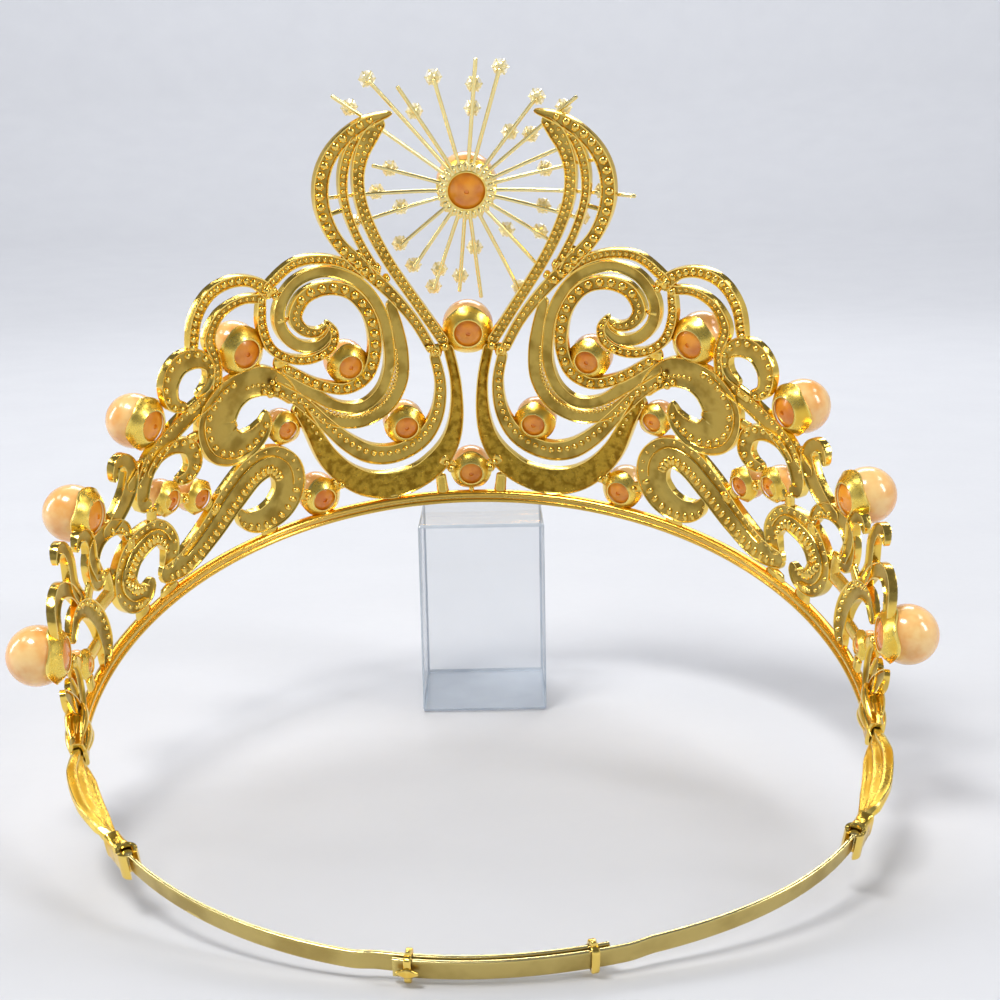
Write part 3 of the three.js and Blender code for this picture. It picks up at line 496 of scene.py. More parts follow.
# %% Pearl and bare bead
def pearl_coat(name, pale, warm, gloss, coat, painted_glow):
    finish = Finish(name)
    cloud, speck = finish.noise(5, 3), finish.noise(0.5, 2)
    # Warmer and darker towards the outline as seen: painted shade.
    rim = finish.node("LayerWeight", {}, {"Blend": 0.35}, "Facing")
    tone = finish.blend(cloud.between(0.35, 0.7), pale, warm)
    tone = finish.blend(rim * 0.5, tone, warm)
    # The emission is a painted glow, weak on the coat and stronger on the bare bead, for light shining
    # through it.
    return finish.done(Base_Color=tone, Emission_Color=tone, Emission_Strength=painted_glow,
                       Roughness=speck * 0.1 + gloss, Coat_Weight=coat, Coat_Roughness=0.06,
                       Specular_IOR_Level=0.6, Normal=finish.relief(speck, 0.012))


peach_pearl = pearl_coat("peach_pearl", colour(255, 214, 142), colour(244, 172, 86), 0.18, 0.8, 0.04)
bare_bead = pearl_coat("bare_bead", colour(228, 148, 32), colour(202, 110, 10), 0.2, 0.5, 0.19)
print("beads:", peach_pearl.name, bare_bead.name)

# %% Rhinestone and acrylic
foil = Finish("foiled_stone")
glint = foil.noise(1.2, 2)
painted_sparkle = glint.between(0.4, 0.62)
# The white and cream mottle and the emission paint the stones' sparkle and the light their foil throws back.
foiled_stone = foil.done(
    Base_Color=foil.blend(painted_sparkle, colour(255, 254, 246), colour(250, 238, 200)), Metallic=0.35,
    Roughness=glint * 0.08 + 0.03, Coat_Weight=1.0, Coat_Roughness=0.02,
    Emission_Color=foil.blend(painted_sparkle, colour(255, 250, 230), colour(240, 214, 140)), Emission_Strength=0.22,
    Normal=foil.relief(glint, 0.01))


def acrylic(name, body_tint, body, glare):
    """Clear plastic: how much of it shows face on, and how much more at a slant, where the pale body paints
    in its reflections.
    """
    finish = Finish(name)
    scratch, cloud = finish.noise(1.5, 3, (6, 1, 1)), finish.noise(9, 2)
    # A pale body that grows more opaque at a slant: painted reflection.
    slant = finish.node("LayerWeight", {}, {"Blend": 0.3}, "Fresnel")
    return finish.done(Base_Color=finish.blend(cloud, body_tint, colour(222, 232, 244)),
                       Roughness=scratch.between(0.55, 0.8) * 0.06 + 0.02, Specular_IOR_Level=0.7,
                       Alpha=slant * glare + cloud * 0.06 + body, Normal=finish.relief(scratch, 0.004))


clear_acrylic = acrylic("clear_acrylic", colour(196, 208, 222), 0.12, 0.5)
# The bevelled edges are far more opaque than the faces: painted light lines along the polished edges.
polished_edge = acrylic("polished_edge", colour(140, 158, 178), 0.66, 0.3)
print("clear:", foiled_stone.name, clear_acrylic.name, polished_edge.name)

# %% [markdown]
# A ribbon of the casting has a raised rim along each edge and a sunk floor between them, on both
# faces. Sweeping that outline along the drawn curve gives all of it at once, and a modeller can
# still change one number to widen a rim. Each ribbon lies a hair deeper than the one before, so
# floors that meet at a joint don't flicker.

# %% A smooth curve through stations
CURVE_STEP = 0.2


def strand(stations):
    """Points of a smooth curve through the stations: along, height and width, all in millimetres."""
    p = np.array(stations, float) * [column_width, row_height, RIBBON_WIDTH]
    p = np.vstack([2 * p[0] - p[1], p, 2 * p[-1] - p[-2]])
    points = []
    for a, b, c, d in zip(p, p[1:], p[2:], p[3:]):
        before, between, after = [math.sqrt(np.linalg.norm(v)) for v in (b - a, c - b, d - c)]
        leave = ((b - a) / before - (c - a) / (before + between) + (c - b) / between) * between
        arrive = ((c - b) / between - (d - b) / (between + after) + (d - c) / after) * between
        t = np.linspace(0, 1, max(3, math.ceil(np.linalg.norm(c - b) / CURVE_STEP)), endpoint=False)[:, None]
        points.append((2 * t**3 - 3 * t**2 + 1) * b + (t**3 - 2 * t**2 + t) * leave
                      + (3 * t**2 - 2 * t**3) * c + (t**3 - t**2) * arrive)
    return np.vstack(points + [p[-2:-1]])


def left_of(path):
    """Unit steps to the left of the way along a flat path."""
    ahead = np.gradient(path[:, :2], axis=0)
    ahead /= np.linalg.norm(ahead, axis=1)[:, None]
    return np.stack([-ahead[:, 1], ahead[:, 0]], 1)


def walked(path):
    return np.append(0, np.cumsum(np.linalg.norm(np.diff(path[:, :2], axis=0), axis=1)))


def at_places(path, columns, places):
    """Columns of numbers along a path, read off at these places."""
    return np.stack([np.interp(places, walked(path), column) for column in columns.T], 1)


print("the great leaf is", round(walked(strand(broad_leaves["leaf"]))[-1]), "mm long")

# %% [markdown]
# Where a ribbon curls tightly, its inner edge has no room to be as wide as the outer one. So each
# edge is held back to a share of the curl's own radius, as real metal would bunch up there. The
# ends are rounded, and they sink a little so that one ribbon slips under the next.

# %% How each ribbon is dressed: rim width, depth of the floor, extra depth in its middle
DRESSING = {"volute_plain": (0.18, 0.22, 0.12), "volute_outer": (0.2, 0.28, 0.12), "bowl": (0.26, 0.42, 0.1),
            "leaf": (0.26, 0.3, 0.4), "leaf_volute": (0.3, 0.26, 0.5), "tail": (0.26, 0.26, 0.42),
            "side_volute": (0.26, 0.26, 0.42), "crest_curl": (0.28, 0.3, 0.3), "end_leaf": (0.26, 0.3, 0.3)}
PLAIN_DRESSING = (0.28, 0.44, 0.06)
END_ROUND, END_SINK, CURL_ROOM = 1.2, 3.0, 0.82
RIM_SHARE, EDGE_DROP, LEAST_FLOOR = 0.34, 0.22, 0.12
FLOOR_SHARES = (0.55, 0.2, -0.2, -0.55)
STATION_STEP = 0.6
SLIP_UNDER = 0.62


def edge_room(path, side):
    """How wide the ribbon may be to its left (1) or right (-1) before its curl folds it."""
    ahead = np.gradient(path[:, :2], axis=0)
    heading = np.unwrap(np.arctan2(ahead[:, 1], ahead[:, 0]))
    bend_rate = side * np.gradient(heading, walked(path))
    bend_rate = np.convolve(np.pad(bend_rate, 5, "edge"), np.ones(11) / 11, "valid")
    return CURL_ROOM / np.maximum(bend_rate, 0.02)


print("ribbons with a dressing of their own:", len(DRESSING))


# %% A rimmed ribbon
def rimmed(skin, stations, sign, depth, dressing, floor_finish):
    rim_width, recess, hollow = dressing
    smooth = strand(stations)
    whole = walked(smooth)[-1]
    near = END_ROUND * np.array([0, 0.03, 0.12, 0.28, 0.5, 0.75])
    between = np.linspace(END_ROUND, whole - END_ROUND, max(2, round(whole / STATION_STEP)))
    places = np.concatenate([near, between, (whole - near)[::-1]])
    from_end = np.minimum(places, whole - places)
    rounding = np.sqrt(np.clip(1 - (1 - np.clip(from_end / END_ROUND, 0, 1)) ** 2, 0.02, 1))
    path, left = at_places(smooth, smooth, places), at_places(smooth, left_of(smooth), places)
    half = [np.minimum(path[:, 2] / 2, np.interp(places, walked(smooth), edge_room(smooth, side))) * rounding
            for side in (1, -1)]
    top = depth * (SLIP_UNDER + (1 - SLIP_UNDER) * np.clip(from_end / END_SINK, 0, 1))
    floor = top - recess * np.clip(from_end / END_ROUND, 0.1, 1)
    bowl = np.minimum(hollow, floor - LEAST_FLOOR)
    sides = []
    for h in half:
        rim = np.minimum(rim_width, h * RIM_SHARE)
        sides.append([h, h - 0.1 * rim, h - rim, h - rim - np.minimum(0.2, h * 0.2)])
    climb = [top - EDGE_DROP, top - 0.03, top, floor]
    floors = [share * sides[share < 0][-1] for share in FLOOR_SHARES]
    across = sides[0] + floors + [-v for v in sides[1][::-1]]
    out = climb + [floor - bowl * (1 - share * share) for share in FLOOR_SHARES] + climb[::-1]
    across, out = np.stack(across + across[::-1], 1), np.stack(out + [-v for v in out[::-1]], 1)
    flat = path[:, None, :2] + across[:, :, None] * left[:, None, :]
    flat[:, :, 0] *= sign
    # Of the twelve strips on each face, the third to the seventh are its floor.
    skin.wrap(np.dstack([flat, out]), [floor_finish if 3 <= k % 12 <= 7 else 0 for k in range(24)])


def rounded_bar(skin, stations, sign, depth):
    """A bar with soft edges and round ends, for solder and for fine raised lines."""
    smooth = strand(stations)
    whole = walked(smooth)[-1]
    near = np.array([0, 0.1, 0.3])
    between = np.linspace(STATION_STEP, whole - STATION_STEP, max(2, round(whole / STATION_STEP)))
    places = np.concatenate([near, between, (whole - near)[::-1]])
    path, left = at_places(smooth, smooth, places), at_places(smooth, left_of(smooth), places)
    swell = np.sqrt(np.clip(np.minimum(places, whole - places) / STATION_STEP, 0.04, 1))
    half = path[:, 2] / 2 * swell
    turn = around(12)
    flat = path[:, None, :2] + half[:, None, None] * np.cos(turn)[None, :, None] * left[:, None, :]
    flat[:, :, 0] *= sign
    skin.wrap(np.dstack([flat, depth * swell[:, None] * np.sin(turn)]))


trial = Skin()
rimmed(trial, all_drawn["bowl"], 1, LACE_THICKNESS / 2, PLAIN_DRESSING, floor_finish=1)
print("the bowl's ribbon alone has", len(trial.faces), "faces")

# %% Ribbons, leaves and solder
SOLDER_DEPTH = 0.7
ribbons, leaves = Skin(), Skin()
for sign in (1, -1):
    for skin, drawn in ((ribbons, narrow_ribbons), (leaves, broad_leaves)):
        for k, (name, stations) in enumerate(drawn.items()):
            depth = LACE_THICKNESS / 2 - 0.008 * (k % 9) - 0.004 * (drawn is broad_leaves)
            dressing = DRESSING.get(name, PLAIN_DRESSING)
            rimmed(skin, stations, sign, depth, dressing, floor_finish=2 if name == "leaf" else 1)
    for stations in solder_joints:
        rounded_bar(leaves, stations, sign, SOLDER_DEPTH)
rounded_bar(leaves, [[0, 2.6, 0.5], [0, 4.6, 0.5]], 1, SOLDER_DEPTH)
casting_golds = [polished_gold, satin_gold, hammered_gold]
ribbons.piece("openwork_ribbons", casting_golds, "front_openwork", "cast_gold", on_crown_clear)
leaves.piece("openwork_leaves", casting_golds, "front_openwork", "cast_gold", on_crown_clear)

# %% [markdown]
# Rows of beads run in the sunk floors. In the wax they were pressed with a beading wheel, so a row
# is a size, a spacing and a place across the ribbon. Bars across the way, like the edge of a pie
# crust, are the same beads drawn out sideways. A few loose grains cover solder spots.

# %% Bead rows, each: size, spacing, place across, from and to along, stretch across
bead_rows = {
    "bowl": [(1.6, 2.1, 0.1, 0.05, 0.93, 1)],
    "volute_beaded": [(2.3, 2.75, 0.06, 0.02, 0.8, 1), (1.2, 1.6, 0, 0.82, 0.97, 1)],
    "volute_outer": [(0.9, 1.15, -0.84, 0.1, 0.75, 1)],
    "link_scroll": [(1.6, 2, 0, 0.04, 0.97, 1)],
    "top_arc_inner": [(1.2, 1.5, 0, 0.04, 0.96, 1.2)],
    "top_arc_outer": [(1.6, 1.8, 0, 0.08, 0.96, 1.2)],
    "crest_arc": [(1, 1.5, 0, 0.06, 0.94, 1)],
    "diagonal": [(1.1, 1.7, 0.4, 0.1, 0.8, 1)],
    "scroll": [(1.7, 2.2, -0.34, 0.12, 0.95, 1)],
    "side_loop": [(1.3, 1.8, -0.3, 0.02, 0.3, 1)],
    "horn_inner": [(1.3, 1.7, 0.34, 0.02, 0.97, 1), (1, 1.7, -0.45, 0.03, 0.96, 1)],
    "horn_middle": [(1.3, 1.7, 0, 0.02, 0.98, 1)],
    "horn_outer": [(2.1, 2.3, -0.16, 0.3, 0.93, 1.1), (1.4, 1.8, 0.1, 0.02, 0.29, 1)],
    "leaf_volute": [(1.7, 2, 0.36, 0.36, 0.93, 1), (1.1, 1.6, -0.3, 0.05, 0.3, 1)],
    "leaf": [(1.3, 1.9, 0.3, 0.86, 0.96, 1)],
    "tail": [(0.9, 1.9, 0.66, 0.3, 0.97, 1), (1.5, 1.8, 0.55, 0.03, 0.27, 1.5),
             (1.5, 1.85, -0.56, 0.33, 0.95, 1.7)],
    "crest_curl": [(1.6, 2.2, -0.36, 0.04, 0.82, 1)],
    "side_volute": [(1.5, 1.8, -0.52, 0.1, 0.95, 1.8), (1.1, 1.8, 0.62, 0.05, 0.9, 1)],
    "end_leaf": [(1.3, 1.9, 0.5, 0.08, 0.8, 1)],
}
# Fine raised lines beside some rows: width share, place across, from and to along
raised_lines = {"leaf_volute": (0.2, 0.6, 0.34, 0.95), "tail": (0.2, 0.3, 0.3, 0.9),
                "side_volute": (0.2, 0.2, 0.15, 0.9)}
# Loose grains of solder, each: column, row and size
grains = [
    (4.9, 10, 1.7), (5.9, 11.6, 1.2), (5.6, 42.6, 1.8), (7.8, 41.4, 1.3), (9.4, 42.6, 1.1),
    (32.6, 9.8, 1.4), (34.2, 10.8, 1.1), (41.4, 9.2, 1.3), (46.6, 39.2, 1.7), (48.4, 38, 1.5),
    (45.6, 37.2, 1.3), (49.8, 39.2, 1.2), (47.6, 40.8, 1.1), (35, 44.2, 1.2), (33.4, 43, 1),
    (44.6, 60.6, 1.3), (46.4, 62.4, 1.1), (74.6, 21.6, 1.3), (66.8, 16.2, 1.3), (20.4, 63.4, 1.3),
    (22.4, 65, 1.2), (24.4, 67, 1.1), (18.4, 60.6, 1.2), (42.6, 31.4, 1.1)]
print("rows of beads a side:", sum(len(rows) for rows in bead_rows.values()))

# %% A row of beads
ON_THE_RIM = 0.75
SMALL_BEAD, LEAST_BEAD, BEAD_SUNK = 1.4, 0.35, 0.06
DOME_CLIMBS = (0, 28, 52, 72, 88)


def dome(size, stretch):
    """Half a bead as rows of a skin, flat side down, in across, along and up."""
    rows, sides = [], 10 if size > SMALL_BEAD else 8
    for climb in DOME_CLIMBS:
        ring = size / 2 * math.cos(math.radians(climb))
        turn = around(sides)
        rows.append(np.stack([ring * stretch * np.cos(turn), ring * np.sin(turn),
                              np.full(sides, size / 2 * math.sin(math.radians(climb)))], 1))
    return np.array(rows)


def set_bead(skin, bead, stretch, x, y, left, base, sign):
    """One bead on both faces of the casting."""
    across, along, up = np.moveaxis(dome(bead, stretch), -1, 0)
    flat_x, flat_y = x + across * left[0] + along * left[1], y + across * left[1] - along * left[0]
    for face in (-1, 1):
        skin.wrap(np.stack([flat_x * sign, flat_y, face * (base + up)], -1))


def bead_row(skin, name, sign, size, spacing, place, start, stop, stretch):
    rim_width, recess, hollow = DRESSING.get(name, PLAIN_DRESSING)
    smooth = strand(all_drawn[name])
    whole = walked(smooth)[-1]
    count = max(1, round((stop - start) * whole / spacing))
    places = np.linspace(start, stop, count + 1) * whole
    room = np.minimum(smooth[:, 2] / 2, edge_room(smooth, 1 if place > 0 else -1))
    spots = zip(at_places(smooth, smooth, places), at_places(smooth, left_of(smooth), places),
                np.interp(places, walked(smooth), room))
    for (x, y, _), left, half in spots:
        free = half * (1 - abs(place)) - min(rim_width, half * RIM_SHARE) * 0.6
        bead = size * min(1, max(LEAST_BEAD, free / (size * stretch / 2)))
        base = LACE_THICKNESS / 2 - recess - hollow * (1 - place * place) - BEAD_SUNK
        if abs(place) > ON_THE_RIM:
            bead, base = size, LACE_THICKNESS / 2 - size * 0.25
        x, y = x + place * half * left[0], y + place * half * left[1]
        set_bead(skin, bead, stretch, x, y, left, base, sign)
    return count + 1


print("rounds and points of a small bead and a large one:", dome(1, 1).shape[:2], dome(2, 1).shape[:2])

# %% All beads of the openwork
GRAIN_GROWTH, GRAIN_SUNK, LINE_SUNK = 1.25, 0.15, 0.08
beads, total = Skin(), 0
for sign in (1, -1):
    for name, rows in bead_rows.items():
        for row in rows:
            total += bead_row(beads, name, sign, *row)
    for name, (share, place, start, stop) in raised_lines.items():
        smooth = strand(all_drawn[name])
        room = np.minimum(smooth[:, 2] / 2, edge_room(smooth, 1))
        line = smooth[:, :2] + place * room[:, None] * left_of(smooth)
        kept = slice(int(start * len(line)), int(stop * len(line)), 8)
        stations = np.column_stack([line / [column_width, row_height], np.full(len(line), share)])[kept]
        rounded_bar(beads, stations, sign, LACE_THICKNESS / 2 - LINE_SUNK)
    for column, row, size in grains:
        set_bead(beads, size * GRAIN_GROWTH, 1, column * column_width, row * row_height, (0, 1),
                 LACE_THICKNESS / 2 - GRAIN_SUNK, sign)
beads.piece("openwork_beads", [polished_gold], "front_openwork", "cast_gold", on_crown_clear, sharp=60)
print("beads on each face:", total, "and", 2 * len(grains), "grains")

# %% [markdown]
# Under the openwork runs the band: two drawn wires with a groove between them, soldered to every
# scroll that comes down. At the sides it thins into a tongue for the clip. All bars that
# follow the ring are made by one sweep: an outline in up and out, carried along the ring.

# %% Bars that follow the ring
BAND_HEIGHT = 3.2
BAND_THICKNESS = 2.4
BAND_PAST_SIDE = 6.5
TONGUE_HEIGHT = 3.6
TONGUE_THICKNESS = 1.2
TONGUE_LENGTH = 3
CLIP_WALL = 0.7
ring_middle = BAND_HEIGHT / 2


def oval(half_up, half_out, points=16, square=1.0):
    """An outline in up and out: an ellipse, or squarer the lower the last number is."""
    turn = (np.arange(points) + 0.5) / points * 2 * math.pi
    return np.stack([half_up * np.sign(np.cos(turn)) * np.abs(np.cos(turn)) ** square,
                     half_out * np.sign(np.sin(turn)) * np.abs(np.sin(turn)) ** square], 1)


def sweep(skin, along, outline, finish=0, height=ring_middle, outward=0, round_trip=False):
    """One outline for all places along the ring, or one for each."""
    along = np.asarray(along, float)
    outlines = np.broadcast_to(outline, (len(along), *np.shape(outline)[-2:]))
    place = np.broadcast_to(along[:, None], outlines.shape[:2])
    out = outlines[:, :, 1] + np.broadcast_to(np.asarray(outward, float).reshape(-1, 1), place.shape)
    skin.wrap(np.stack([place, height + outlines[:, :, 0], out], -1), finish, round_trip=round_trip,
              caps=not round_trip)


print("the band's tongues end", round(front_length + BAND_PAST_SIDE + TONGUE_LENGTH, 1), "mm along the ring")

# %% The band
band = Skin()
band_end = front_length + BAND_PAST_SIDE - TONGUE_LENGTH
lengths = np.linspace(-band_end, band_end, 240)
for height in (BAND_HEIGHT * 0.24, BAND_HEIGHT * 0.76):
    sweep(band, lengths, oval(BAND_HEIGHT * 0.24, BAND_THICKNESS / 2), height=height)
sweep(band, lengths, oval(BAND_HEIGHT * 0.3, BAND_THICKNESS * 0.3, 8, 0.5), finish=1)
for side in (-1, 1):
    sweep(band, side * np.linspace(band_end - 1, band_end + 2 * TONGUE_LENGTH, 8),
          oval(TONGUE_HEIGHT / 2, TONGUE_THICKNESS / 2, 20, 0.35))
band.piece("openwork_band", [drawn_gold, satin_gold], "front_openwork", "cast_gold", on_crown)

# %% [markdown]
# A cup is turned: its wall follows the pearl from the hole at the back to the rim. The rim
# rises and falls four times round, or six at the hub, since these cups are stamped as flowers
# whose petals are pushed over the pearl. The pearls are turned too, with the mouth of the drilled
# hole at the back.

# %% Turned pieces
def turned(profile, place, sides, lobes=0, lobe_size=0.0):
    """Rows of a skin from (radius, outward, how much of the lobes) about the way out of the crown."""
    along, height, outward = place
    foot = bend(place)
    out = bend([along, height, outward + 1]) - foot
    up = bend([along, height + 1, outward]) - foot
    out /= np.linalg.norm(out)
    up -= out * (up @ out)
    up /= np.linalg.norm(up)
    aside = np.cross(up, out)
    turn = around(sides)[None, :, None]
    radius, depth, share = [np.array(column)[:, None, None] for column in zip(*profile)]
    wave = np.cos(lobes * turn) * share * lobe_size
    return foot + (radius + wave / 4) * (np.cos(turn) * aside + np.sin(turn) * up) + (depth + wave) * out


print("the hub's pearl sits", round(float(bend(hub_seat)[1]), 1), "mm in front of the ring's middle")

# %% Cups
CUP_SIDES, CUP_PETALS, PETAL_HEIGHT = 40, 4, 0.4
RIM_ROLL, LIP_ROUND = 0.14, 0.03


def bowl_wall(size, lip_angle=CUP_LIP_ANGLE):
    """The wall of a cup, once round its thickness."""
    outer = cup_radius(size)
    inner = outer - CUP_WALL
    angles = np.radians(np.linspace(lip_angle, CUP_RIM_ANGLE, 11))
    risen = np.linspace(0, 1, 11) ** 2.5
    rolled = outer + RIM_ROLL * risen ** 4
    wall = [(r * math.sin(a), -r * math.cos(a), s) for r, a, s in zip(rolled, angles, risen)]
    middle = (outer + inner) / 2
    rim = angles[-1] + LIP_ROUND
    wall.append((middle * math.sin(rim), -middle * math.cos(rim), 1))
    wall += [(inner * math.sin(a), -inner * math.cos(a), s) for a, s in zip(angles[::-1], risen[::-1])]
    lip = angles[0] - LIP_ROUND
    return wall + [(middle * math.sin(lip), -middle * math.cos(lip), 0)]


cups = Skin()
for name, (place, size) in pearls.items():
    if name != "hub":
        cups.wrap(turned(bowl_wall(size), place, CUP_SIDES, CUP_PETALS, PETAL_HEIGHT), round_trip=True)
cups.piece("pearl_cups", [stamped_gold], "front_openwork", "cast_gold", as_turned)

# %% Pearls
DRILL_RADIUS = 0.55
BARE_PAST_HOLE = 5


def over_ball(radius, first, last, count):
    """A line over a ball from one angle to another, counted from its back."""
    return [(radius * math.sin(a), -radius * math.cos(a), 0) for a in np.linspace(first, last, count)]


for name, (place, size) in pearls.items():
    radius = PEARL_SIZES[size] / 2
    bare = math.radians(CUP_HOLE_ANGLE + BARE_PAST_HOLE)
    mouth = math.asin(DRILL_RADIUS / radius)
    back = [(0.001, 0.6 - radius, 0), (DRILL_RADIUS * 0.8, 0.5 - radius, 0)]
    back += over_ball(radius, mouth, bare, 8)
    front = over_ball(radius, bare, math.pi - 0.001, 20)
    pearl = Skin()
    pearl.wrap(turned(back, place, CUP_SIDES), 1, caps=False)
    pearl.wrap(turned(front, place, CUP_SIDES), caps=False)
    pearl.piece(f"bead_{name}", [peach_pearl, bare_bead], f"pearl_{name}", "pearl", as_turned, sharp=60)

# %% [markdown]
# Behind the horns stands the spray. Wires of hard brass leave a ring round the largest pearl, and
# rhinestones in small claws sit on them. Seen from behind, each claw is a six-petalled
# flower with the stone's facets showing between its petals.

# %% The hub ring
HUB_RING_WIDTH = 2
HUB_NOTCHES = 24
PETALS = 6
hub_hole = cup_radius("great") * math.sin(math.radians(CUP_HOLE_ANGLE))
hub_rim = hub_hole + HUB_RING_WIDTH
hub_flat = np.array([HUB[0] * column_width, HUB[1] * row_height])
spray = Skin()
half = WIRE_DIAMETER / 2
ring_outline = [(hub_hole - 0.1, -half), (hub_rim - 0.3, -half), (hub_rim, -0.2), (hub_rim, 0.2),
                (hub_rim - 0.3, half), (hub_hole - 0.1, half)]
turn = around(4 * HUB_NOTCHES)
notch = 1 + 0.05 * np.cos(HUB_NOTCHES * turn)
spray.wrap([np.stack([hub_flat[0] + r * notch * np.cos(turn), hub_flat[1] + r * notch * np.sin(turn),
                      np.full(len(turn), spray_outward + out)], 1) for r, out in ring_outline],
           round_trip=True)
for angle in around(HUB_NOTCHES):
    across, along, up = np.moveaxis(dome(1.15, 1.5), -1, 0)
    away = hub_hole + HUB_RING_WIDTH / 2 + across
    x = hub_flat[0] + away * math.cos(angle) - along * math.sin(angle)
    y = hub_flat[1] + away * math.sin(angle) + along * math.cos(angle)
    spray.wrap(np.stack([x, y, spray_outward - 0.35 - up], -1))
print("hub ring:", round(hub_hole, 1), "to", round(hub_rim, 1), "mm from its middle")

# %% Wires, each: column and row of its end, and where its stones sit as shares of its length
wires = [
    [-27.5, 102.2, 0.86], [-19.6, 104.8, 1], [-13.7, 103.2, 0.75], [-6, 104.5, 1],
    [2.9, 108.7, 0.62, 0.8], [7.9, 106.5, 1], [15.5, 100.2, 0.62, 1], [24.1, 100.9, 0.58, 0.87],
    [20.9, 89.5], [29.5, 87.7, 0.58], [37.3, 80, 0.79], [25.3, 73.6, 0.66, 0.84, 1], [19.9, 67.2, 0.81],
    [16.6, 61.2, 0.53], [12.3, 54.6, 0.95], [3.2, 53.6, 0.54], [-1.7, 55.2, 0.86], [-7.4, 56.2, 0.82, 1],
    [-11.7, 61.7, 1], [-14.4, 67.2, 1], [-24.2, 73.2, 0.58, 1], [-31.3, 80, 0.61], [-19.9, 86.2, 0.8]]
stone_places = []
for column, row, *shares in wires:
    end = np.array([column * column_width, row * row_height])
    reach = np.linalg.norm(end - hub_flat)
    ahead = (end - hub_flat) / reach
    aside = np.array([-ahead[1], ahead[0]])
    along_wire = np.append(np.arange(hub_rim - WIRE_DIAMETER, reach - 0.3, 1.5), [reach - 0.15, reach])
    thick = np.where(along_wire >= reach, 0.7, 1) * WIRE_DIAMETER / 2
    angle = around(10)
    flat = hub_flat + along_wire[:, None, None] * ahead + (thick[:, None] * np.cos(angle))[:, :, None] * aside
    spray.wrap(np.dstack([flat, spray_outward + thick[:, None] * np.sin(angle)]))
    stone_places += [[*(hub_flat + share * (end - hub_flat)), spray_outward + WIRE_DIAMETER / 4]
                     for share in shares]
spray.piece("spray_wires", [pale_gold], "ray_burst", place=on_crown_clear)
hub_cup = Skin()
hub_cup.wrap(turned(bowl_wall("great", CUP_HOLE_ANGLE), hub_seat, 48, PETALS, PETAL_HEIGHT), round_trip=True)
hub_cup.piece("hub_cup", [stamped_gold], "ray_burst", place=as_turned)

# %% Rhinestones in their claws
STONE_DIAMETER = 3.7
STONE_TABLE_DIAMETER = 2
STONE_DEPTH = 2
girdle, table = STONE_DIAMETER / 2, STONE_TABLE_DIAMETER / 2
stone_outline = [(0.001, 0.02, 0), (girdle * 0.55, STONE_DEPTH * 0.3, 0), (girdle, STONE_DEPTH * 0.56, 0),
                 (girdle, STONE_DEPTH * 0.64, 0), (girdle * 0.82, STONE_DEPTH * 0.84, 0),
                 (table, STONE_DEPTH, 0)]
petal_outline = [(0.4, -0.1, 0), (0.9, 0.15, 0.3), (1.3, 0.55, 1), (1.2, 0.7, 1), (0.8, 0.4, 0.3),
                 (0.3, 0.15, 0)]
prong_outline = [(girdle * 0.8, 0.7, 0), (girdle, 1, 0), (girdle * 0.98, 1.36, 0), (girdle * 0.84, 1.62, 0)]
stones, claws = Skin(), Skin()
for place in stone_places:
    stones.wrap(turned(stone_outline, place, 8))
    claws.wrap(turned(petal_outline, place, 4 * PETALS, PETALS, 0.42), round_trip=True)
    prongs, middle = turned(prong_outline, place, PETALS), turned([(0.001, 1, 0)], place, PETALS)[0, 0]
    for k in range(PETALS):
        prong = prongs[:, k]
        out = (prong - middle) / np.linalg.norm(prong - middle, axis=1)[:, None]
        aside = np.cross(out, prong[-1] - prong[0])
        aside *= 0.2 / np.linalg.norm(aside, axis=1)[:, None]
        claws.wrap(np.stack([prong - aside, prong + out * 0.16, prong + aside, prong - out * 0.1], 1))
stones.piece("spray_stones", [foiled_stone], "ray_burst", None, as_turned, sharp=8)
claws.piece("spray_claws", [claw_gold], "ray_burst", place=as_turned)
print("wires:", len(wires), "stones:", len(stone_places))

# %% [markdown]
# The back of the crown is a chain of four flat parts a side. A folded clip holds the band's
# tongue, with small leaves that fan out over both its faces and its top. A fluted leaf comes next,
# then a tray whose end is curled into a hinge, and last the strap. The leaf's flutes are one curve
# across its face, drawn out along its swelling length.

# %% Sizes of the clips, links and strap
LINK_LENGTH = 33.5
LINK_HEIGHT = 7.6
LINK_THICKNESS = 2.6
LINK_LEAN = math.radians(38)
STRIP_HEIGHT = 3.8
STRIP_THICKNESS = 0.8
EYE_DIAMETER = 1.8
clip_depth = 2 * TONGUE_LENGTH + 2 * GAP
clip_height, clip_thickness = TONGUE_HEIGHT + 2 * GAP, TONGUE_THICKNESS + 2 * GAP
clip_start = front_length + BAND_PAST_SIDE + GAP
link_start = clip_start + clip_depth - TONGUE_LENGTH
rear_clip_start = link_start + LINK_LENGTH - TONGUE_LENGTH
curl_inside = EYE_DIAMETER / 2 + GAP
curl_outside = curl_inside + CLIP_WALL
eye_place = rear_clip_start + clip_depth / 2 + curl_inside + GAP + CLIP_WALL
print("along the ring, the clips start at", round(clip_start, 1), "mm and the hinges are at",
      round(eye_place, 1), "mm")


# %% A folded sleeve
def sleeve(skin, start, stop, side):
    """A folded sleeve round a tongue, with rolled ends."""
    wall, roll = CLIP_WALL, 0.5
    walk = [(start + roll * 0.3, wall), (start + roll, wall * 0.8), ((start + stop) / 2, wall * 0.9),
            (stop - roll, wall * 0.8), (stop - roll * 0.3, wall), (stop, wall * 0.5), (stop, 0),
            ((start + stop) / 2, 0), (start, 0), (start, wall * 0.5)]
    outlines = [oval(clip_height / 2 + out, clip_thickness / 2 + out, 24, 0.45) for _, out in walk]
    sweep(skin, [side * at for at, _ in walk], outlines, round_trip=True)


print("a clip's sleeve is", round(clip_depth, 1), "mm deep and", round(clip_thickness, 1), "mm wide inside")

